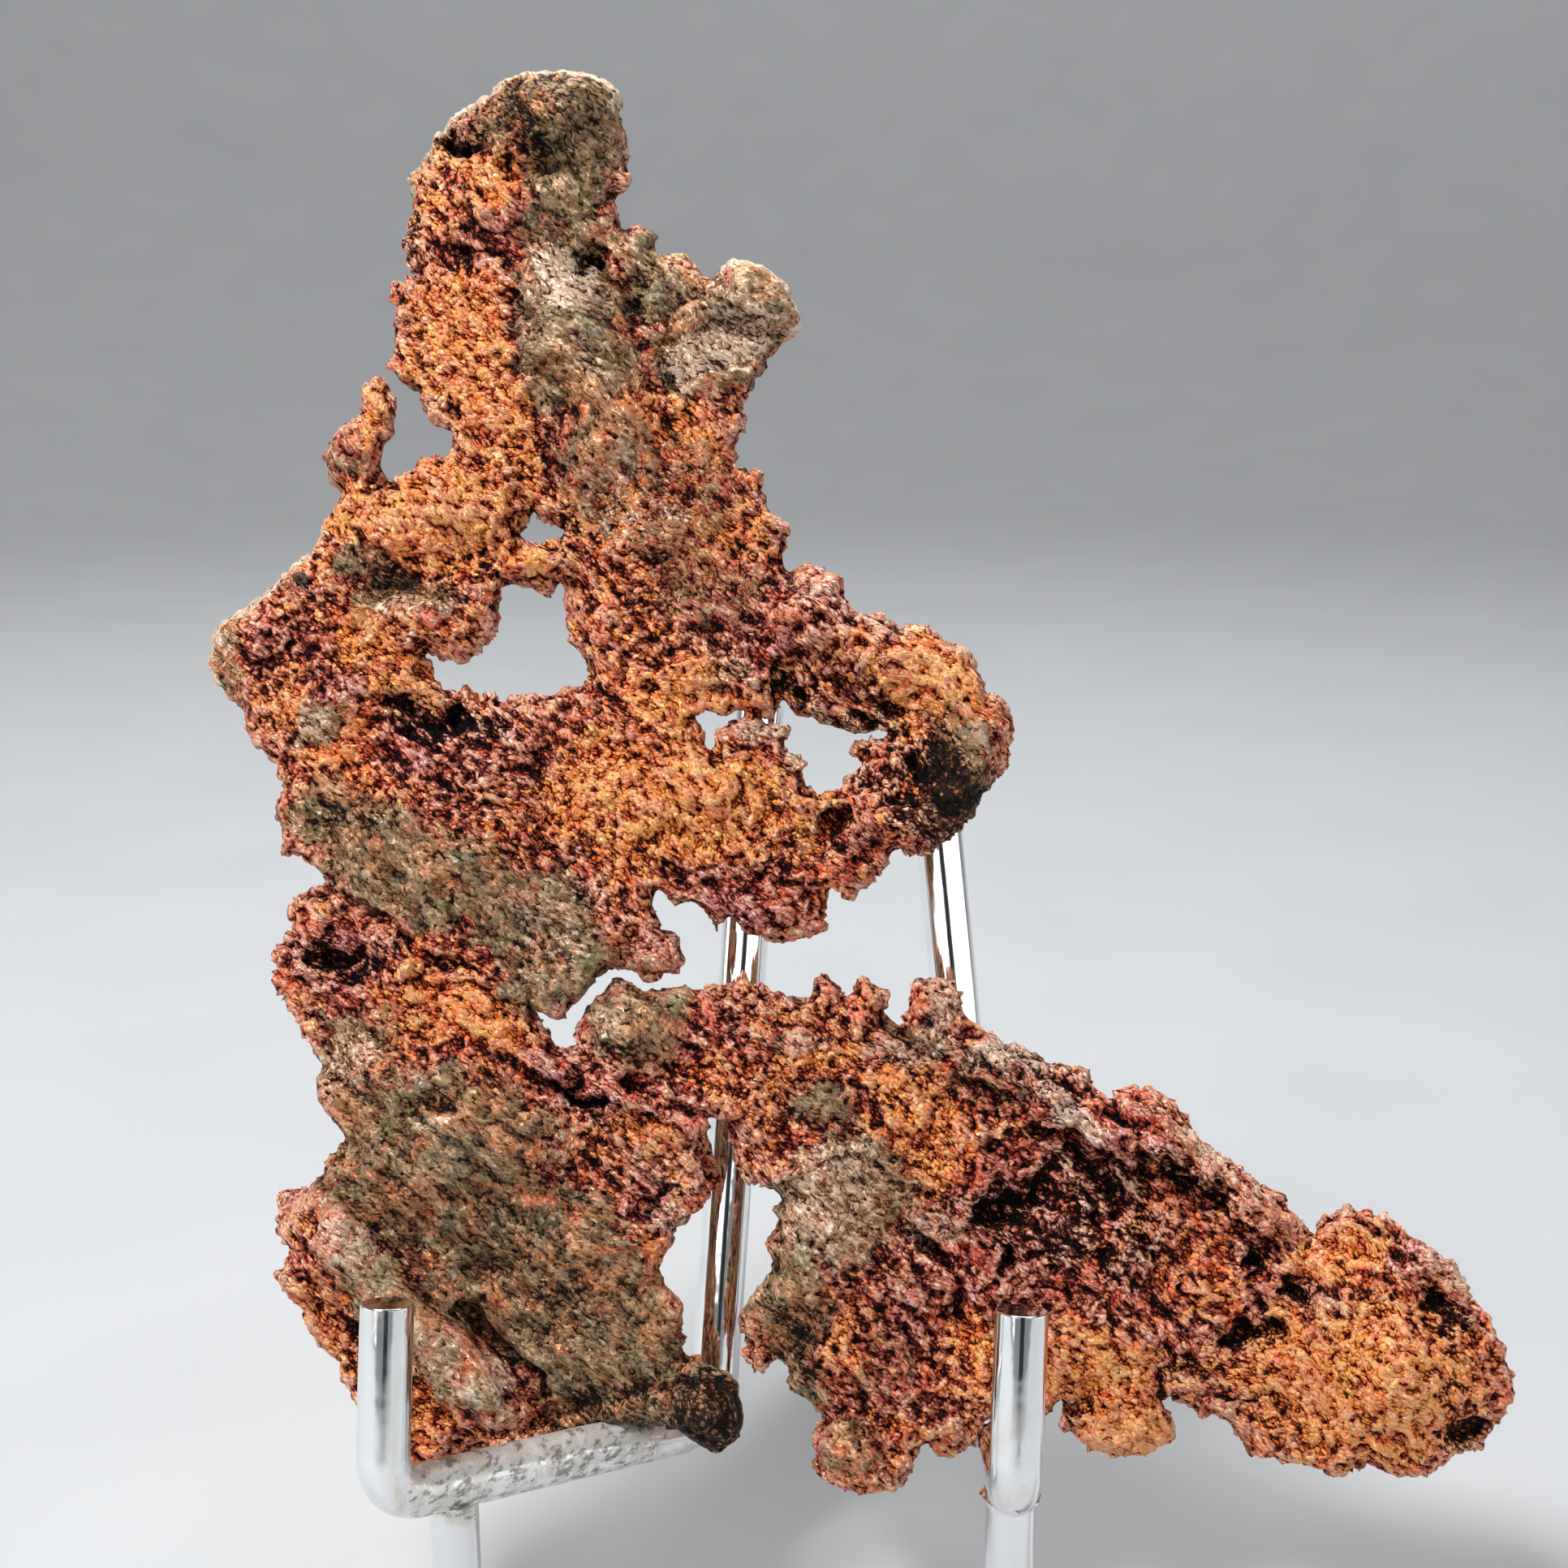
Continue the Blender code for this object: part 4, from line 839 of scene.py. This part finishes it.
# single hollows, bands, cracks and ledges on the front
for *bowl_place, depth in HOLLOWS:
    bowl = patches(rubbed, ((*bowl_place, 1.0),), 1.0, 1.2)
    height -= front * 0.7 * depth * bowl * (0.85 + 0.9 * shred + 0.4 * lot_big)
near_line = skin + 0.5 * (rubbed - skin)
for line, half_width, rise in BANDS:
    distance, _ = beside_line(near_line, line)
    share = np.clip(2.2 * (1.0 - distance / half_width), 0.0, 1.0)
    height += front * rise * share * share * (3.0 - 2.0 * share)
for line, half_width, depth in CRACKS:
    distance, _ = beside_line(near_line, line)
    height -= front * depth * np.clip(1.0 - distance / half_width, 0, 1)
for line, rise, reach in LEDGES:
    distance, side = beside_line(near_line, line)
    fade = np.exp(-distance / reach)
    height += front * abs(rise) * fade * np.where(side * np.sign(rise) > 0, 0.8, -0.5)

moved = world_to_sheet(surface + normals * (height * MM)[:, None])
moved = sheet_to_world(kept_off_rod(moved, MAIN_ROD, ROD_RADIUS + ROD_CLEARANCE))
nugget.data.vertices.foreach_set("co", moved.ravel())
nugget.data.update()

# how deep each point lies below its surroundings, near and far
NEAR_STEPS = 6
FAR_STEPS = 60
moved, normals, edges = mesh_arrays(nugget.data)
near_depth = np.einsum("ij,ij->i", smoothed(moved, edges, NEAR_STEPS) - moved, normals) / MM
far_depth = np.einsum("ij,ij->i", smoothed(moved, edges, FAR_STEPS) - moved, normals) / MM
hollow = np.clip(0.5 + near_depth * 1.6 + far_depth * 0.18, 0.0, 1.0)

for name, values in (("smooth_skin", smooth_skin), ("golden", golden), ("red_oxide", red_oxide),
                     ("black_oxide", black_oxide), ("pale", pale), ("hollow", hollow)):
    attribute = nugget.data.attributes.new(name, "FLOAT", "POINT")
    attribute.data.foreach_set("value", values.astype(np.float32))

# the flattest parts give up their surplus triangles
nugget.data.calc_loop_triangles()
thinning = nugget.modifiers.new("thinning", "DECIMATE")
thinning.ratio = min(1.0, MOST_TRIANGLES / len(nugget.data.loop_triangles))
nugget.data = baked_mesh(nugget)
nugget.modifiers.clear()
nugget.data.shade_smooth()


def copper_finish():
    """Crumbly bare copper, olive-brown skin and red to black oxide in one, with painted light and
    shade on the crumbs and in the hollows.
    """
    copper = Finish("native_copper")
    place = copper.place_in_mm()

    def zone(name):
        return copper.node("ShaderNodeAttribute", {"attribute_name": name}, {}, "Fac")

    swept = copper.bent(copper.bent(place, 12.0, 3.5), 1.3, 0.7)
    along = copper.drawn_out(swept, GRAIN_TURN, (0.88, 0.44, 0.46))
    fine = copper.drawn_out(swept, GRAIN_TURN, (0.95, 0.50, 0.50))
    thread = copper.noise(fine, 1.0, 3.0, 0.75)
    coarse = copper.drawn_out(swept, GRAIN_TURN, (2.4, 1.6, 1.6))
    middle = copper.noise(coarse, 1.0, 4.0, 0.6)
    broad = copper.noise(place, 6.0, 3.0, 0.55)
    crumb = copper.cells(along, 1.0)
    edge = copper.cells(along, 1.0, "DISTANCE_TO_EDGE")
    chance = copper.cells(along, 1.0, output="Color")
    lot = copper.node("ShaderNodeSeparateColor", {}, {"Color": chance}, "Red")
    from_centre = copper.node("ShaderNodeVectorMath", {"operation": "SUBTRACT"},
                              {0: along, 1: copper.cells(along, 1.0, output="Position")})
    tilt = copper.node("ShaderNodeVectorMath", {"operation": "DOT_PRODUCT"},
                       {0: from_centre, 1: copper.shifted(chance, (-0.5, -0.5, -0.5))}, "Value")
    hollow = zone("hollow")

    def cloud(offset, size, detail=3.0, roughness=0.6):
        """Soft patches; each offset gives patches of their own."""
        return copper.noise(copper.shifted(swept, offset), size, detail, roughness)

    # crumbs: painted highlights on each crumb's middle, on one tilted side and on ridges,
    # and painted shade, near black, in the gaps between them and in the hollows
    gap = (edge + (thread - 0.5) * 0.7 + (0.5 - hollow) * 0.3).between(0.11, -0.02)
    dash = thread.between(0.42, 0.30)
    top = ((0.62 - crumb) + (thread - 0.5) * 2.1 + (lot - 0.5) * 0.7 + tilt * 1.4
           + (middle - 0.5) * 0.4)
    tone = 0.53 + top * 0.40 + (0.5 - hollow) * 0.60 - gap * 0.32 - dash * 0.16

    heat = (tone + 0.06 + zone("golden") * 0.15).clamped()
    ember = copper.ramp(heat, (
        (0.00, (0.012, 0.000, 0.000)),
        (0.18, (0.120, 0.008, 0.004)),
        (0.34, (0.430, 0.060, 0.018)),
        (0.50, (0.760, 0.165, 0.055)),
        (0.72, (0.930, 0.290, 0.120)),
        (1.00, (0.980, 0.470, 0.260)),
    ))
    amber = copper.ramp(heat, (
        (0.00, (0.014, 0.001, 0.000)),
        (0.18, (0.130, 0.012, 0.003)),
        (0.34, (0.460, 0.080, 0.016)),
        (0.50, (0.860, 0.245, 0.050)),
        (0.72, (0.980, 0.375, 0.100)),
        (1.00, (1.000, 0.500, 0.200)),
    ))
    red = copper.ramp((tone + 0.03 - zone("red_oxide") * 0.05).clamped(), (
        (0.00, (0.002, 0.000, 0.000)),
        (0.22, (0.050, 0.004, 0.004)),
        (0.42, (0.220, 0.034, 0.020)),
        (0.60, (0.460, 0.120, 0.068)),
        (0.80, (0.720, 0.290, 0.190)),
        (1.00, (0.900, 0.560, 0.420)),
    ))
    hue = cloud((20.0, 0.0, 0.0), 2.6, 2.0)
    gold = copper.mix((hue + (lot - 0.5) * 0.20).between(0.42, 0.56), ember, amber)
    gilding = (zone("golden") * 0.9 - zone("red_oxide") * 0.7 + (middle - 0.5) * 2.0
               + (lot - 0.5) * 0.9).between(-0.20, 0.60)
    bare = copper.mix(gilding, red, gold)

    # crimson, greyish and violet flushes in the oxide
    flush = cloud((0.0, 20.0, 40.0), 3.2, roughness=0.65)
    flush = flush + (lot - 0.5) * 0.08
    crimson = flush.between(0.52, 0.64) * (0.85 - gilding * 0.45)
    bare = copper.multiplied(crimson, bare, (1.06, 0.50, 0.38))
    bare = copper.multiplied(flush.between(0.47, 0.38) * 0.7, bare, (0.96, 1.15, 1.18))
    violet = cloud((60.0, 0.0, 60.0), 4.0, 2.0)
    violet = violet.between(0.54, 0.64) * zone("red_oxide")
    bare = copper.multiplied(violet.clamped() * 0.5, bare, (0.90, 0.76, 1.35))

    # smooth skin: brown foil with rusty, crimson and dark olive patches
    wrinkled = copper.drawn_out(swept, GRAIN_TURN, (1.6, 0.8, 0.6))
    wrinkle = copper.noise(wrinkled, 1.0, 3.0, 0.6)
    # skin_tone also paints light: ridges and facets lighter by their tilt, hollows and gaps
    # darker as painted shade
    skin_tone = (0.56 + (thread - 0.5) * 0.80 + (wrinkle - 0.5) * 0.4 + (middle - 0.5) * 0.25
                 + (0.5 - hollow) * 0.45 + (broad - 0.5) * 0.35 + (lot - 0.5) * 0.24
                 + tilt * 0.55 - gap * 0.14 - dash * 0.10 - zone("black_oxide") * 0.32).clamped()
    brown = copper.ramp(skin_tone, (
        (0.00, (0.012, 0.005, 0.002)),
        (0.25, (0.085, 0.042, 0.016)),
        (0.50, (0.215, 0.130, 0.064)),
        (0.72, (0.380, 0.245, 0.135)),
        (1.00, (0.620, 0.450, 0.290)),
    ))
    rust = copper.ramp(skin_tone, (
        (0.00, (0.020, 0.003, 0.001)),
        (0.25, (0.120, 0.034, 0.012)),
        (0.50, (0.340, 0.140, 0.058)),
        (0.75, (0.580, 0.280, 0.135)),
        (1.00, (0.800, 0.480, 0.280)),
    ))
    patchy = cloud((40.0, 0.0, 0.0), 6.0, 2.0)
    rusty = (patchy + zone("golden") * 0.26 + (thread - 0.5) * 0.15
             + (lot - 0.5) * 0.06).between(0.46, 0.62)
    skin_colour = copper.mix(rusty * 0.8, brown, rust)
    bloom = cloud((0.0, 60.0, 0.0), 3.2)
    bloom = (bloom + (thread - 0.5) * 0.15).between(0.53, 0.62)
    skin_colour = copper.multiplied(bloom, skin_colour, (0.66, 0.80, 0.84))
    blush = cloud((0.0, 0.0, 80.0), 3.0)
    blush = (blush + zone("red_oxide") * 0.12 + (lot - 0.5) * 0.10).between(0.56, 0.66)
    skin_colour = copper.multiplied(blush * 0.7, skin_colour, (1.15, 0.55, 0.48))
    skin_edge = (zone("smooth_skin") + (middle - 0.5) * 1.5 + (thread - 0.5) * 1.0
                 + (lot - 0.5) * 0.4).between(0.34, 0.56)
    dressed = copper.mix(skin_edge, bare, skin_colour)

    # pale pinkish grey: worn metal, and painted highlights on crests and rims
    pale_colour = copper.ramp((skin_tone * 0.65 + 0.31 - gap * 0.20).clamped(), (
        (0.00, (0.050, 0.018, 0.010)),
        (0.35, (0.310, 0.165, 0.100)),
        (0.60, (0.560, 0.380, 0.260)),
        (0.80, (0.740, 0.560, 0.410)),
        (1.00, (0.940, 0.790, 0.640)),
    ))
    pale_edge = (zone("pale") + (middle - 0.5) * 1.0 + (wrinkle - 0.5) * 1.0
                 + (thread - 0.5) * 1.4 + (lot - 0.5) * 0.3).between(0.25, 0.95)
    dressed = copper.mix(pale_edge * 0.9, dressed, pale_colour)

    # black oxide and painted shadow from their zones, with painted shade in the hollows and the
    # gaps between the crumbs, kept off the crumbs' bright tops
    oxide_and_shade = (zone("black_oxide") * 0.88 + (hollow - 0.5) * 0.45 - top * 0.80
            + gap * 0.25 - zone("golden") * 0.15).between(0.18, 0.80)
    dressed = copper.multiplied(oxide_and_shade * 0.95, dressed, (0.07, 0.045, 0.05))

    gloss = 0.42 - top * 0.12 + hollow * 0.25
    metal = (0.45 - oxide_and_shade * 0.4 - gap * 0.3).clamped()
    grit = (top + tilt * 0.6 - gap * 0.5) * (1.0 - skin_edge)
    grit = grit + (wrinkle * 0.8 + thread * 0.9 + tilt * 0.9 - gap * 0.2) * skin_edge
    relief = copper.bump(grit, 0.32)
    return copper.surface(Base_Color=dressed, Metallic=metal, Roughness=gloss.clamped(),
                          Specular_IOR_Level=0.12, Normal=relief)


nugget.data.materials.clear()
nugget.data.materials.append(copper_finish())
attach(nugget, "root")
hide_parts("copper_nugget")


# ---------------------------------------------------------------------------
# Stage: a round pale floor that curves up into a pale wall, soft lights above
# and at the sides, and the camera square to the leaning sheet.
# ---------------------------------------------------------------------------

FLOOR_RADIUS = 1.0
FLAT_FLOOR_RADIUS = 0.9
CURVE_RADIUS = 0.8
WALL_HEIGHT = 0.9
CURVE_STEPS = 24
STAGE_SIDES = 96

backdrop_profile = [(FLAT_FLOOR_RADIUS, 0.0)]
for step in range(CURVE_STEPS + 1):
    angle = math.pi / 2 * step / CURVE_STEPS
    backdrop_profile.append((FLOOR_RADIUS + CURVE_RADIUS * math.sin(angle),
                             CURVE_RADIUS - CURVE_RADIUS * math.cos(angle)))
backdrop_profile.append((FLOOR_RADIUS + CURVE_RADIUS, WALL_HEIGHT))
rings = []
for radius, level in backdrop_profile:
    for side in range(STAGE_SIDES):
        angle = math.tau * side / STAGE_SIDES
        rings.append((radius * math.cos(angle), radius * math.sin(angle), level))
stage_faces = [tuple(range(STAGE_SIDES))]
for low in range(0, len(rings) - STAGE_SIDES, STAGE_SIDES):
    for side in range(STAGE_SIDES):
        after = (side + 1) % STAGE_SIDES
        stage_faces.append((low + side, low + STAGE_SIDES + side,
                            low + STAGE_SIDES + after, low + after))
stage_mesh = bpy.data.meshes.new("studio_floor")
stage_mesh.from_pydata(rings, [], stage_faces)
stage_mesh.shade_smooth()
paper = Finish("pale_paper")
fibre = paper.noise(paper.place_in_mm(), 40.0, 0.0, 0.5)
paper_colour = paper.mix(fibre, (0.44, 0.45, 0.46), (0.47, 0.48, 0.49))
stage_mesh.materials.append(paper.surface(Base_Color=paper_colour, Roughness=0.6))
studio_floor = linked_object("studio_floor", stage_mesh)


def softbox(name, place, aim, width, height, power):
    """A rectangular soft light at a place, turned towards a point."""
    light = bpy.data.lights.new(name, "AREA")
    light.shape = "RECTANGLE"
    light.size = width
    light.size_y = height
    light.energy = power
    lamp = bpy.data.objects.new(name, light)
    lamp.location = place
    lamp.rotation_euler = (Vector(aim) - Vector(place)).to_track_quat("-Z", "Y").to_euler()
    scene.collection.objects.link(lamp)


OBJECT_MIDDLE = (0.0, 0.0, 0.10)
OBJECT_TOP = (0.0, 0.0, 0.20)
WALL_MIDDLE = (0.0, 1.60, 0.9)
SOFTBOXES = (
    # name, place, aim, width, height, power
    ("key_light", (-0.42, -0.26, 0.95), OBJECT_MIDDLE, 0.34, 0.30, 12.5),
    ("top_light", (0.10, 0.35, 0.75), OBJECT_MIDDLE, 0.7, 0.3, 4.0),
    ("left_light", (-0.85, -0.35, 0.20), OBJECT_TOP, 1.3, 0.35, 2.2),
    ("right_light", (0.85, -0.35, 0.20), OBJECT_TOP, 1.3, 0.35, 2.0),
    ("left_strip", (-0.36, -0.78, 0.30), OBJECT_MIDDLE, 0.42, 0.40, 0.75),
    ("right_strip", (0.36, -0.78, 0.30), OBJECT_MIDDLE, 0.42, 0.40, 0.75),
    ("wall_light", (0.0, 0.60, 1.60), WALL_MIDDLE, 1.6, 0.4, 9.0),
)
for box in SOFTBOXES:
    softbox(*box)

# a dark board behind the camera puts the dark line down the polished rods
BOARD_HALF_WIDTH = 0.065
BOARD_DISTANCE = 0.47
BOARD_FOOT = 0.03
BOARD_TOP = 0.42
BOARD_CORNERS = ((-1, BOARD_FOOT), (1, BOARD_FOOT), (1, BOARD_TOP), (-1, BOARD_TOP))
board = [(side * BOARD_HALF_WIDTH, -BOARD_DISTANCE, level) for side, level in BOARD_CORNERS]
board_mesh = bpy.data.meshes.new("dark_board")
board_mesh.from_pydata(board, [], [(0, 1, 2, 3)])
board_finish = Finish("dark_board")
board_weave = board_finish.noise(board_finish.place_in_mm(), 8.0, 2.0, 0.5)
board_colour = board_finish.mix(board_weave, (0.010, 0.010, 0.011), (0.016, 0.016, 0.017))
board_mesh.materials.append(board_finish.surface(Base_Color=board_colour, Roughness=0.9))
linked_object("dark_board", board_mesh)

STUDIO_COLOUR = (0.82, 0.86, 0.92, 1.0)
STUDIO_BRIGHTNESS = 0.13
studio = bpy.data.worlds.new("studio")
studio.use_nodes = True
background = studio.node_tree.nodes["Background"]
background.inputs["Color"].default_value = STUDIO_COLOUR
background.inputs["Strength"].default_value = STUDIO_BRIGHTNESS
scene.world = studio

# The view is 193.2 mm wide at the sheet, seen from 260 mm in front of it.
CAMERA_DISTANCE = 0.260
VIEW_WIDTH = 0.1932
SENSOR_WIDTH = 36.0
camera_data = bpy.data.cameras.new("camera")
camera_data.lens = SENSOR_WIDTH * CAMERA_DISTANCE / VIEW_WIDTH
camera_data.sensor_width = SENSOR_WIDTH
camera_data.clip_start = 0.01
camera = bpy.data.objects.new("camera", camera_data)
camera.location = sheet_to_world((0.0, 0.0, CAMERA_DISTANCE / MM))
camera.rotation_euler = (math.radians(90.0) - LEAN, 0.0, 0.0)
scene.collection.objects.link(camera)
scene.camera = camera
scene.view_settings.view_transform = "Standard"
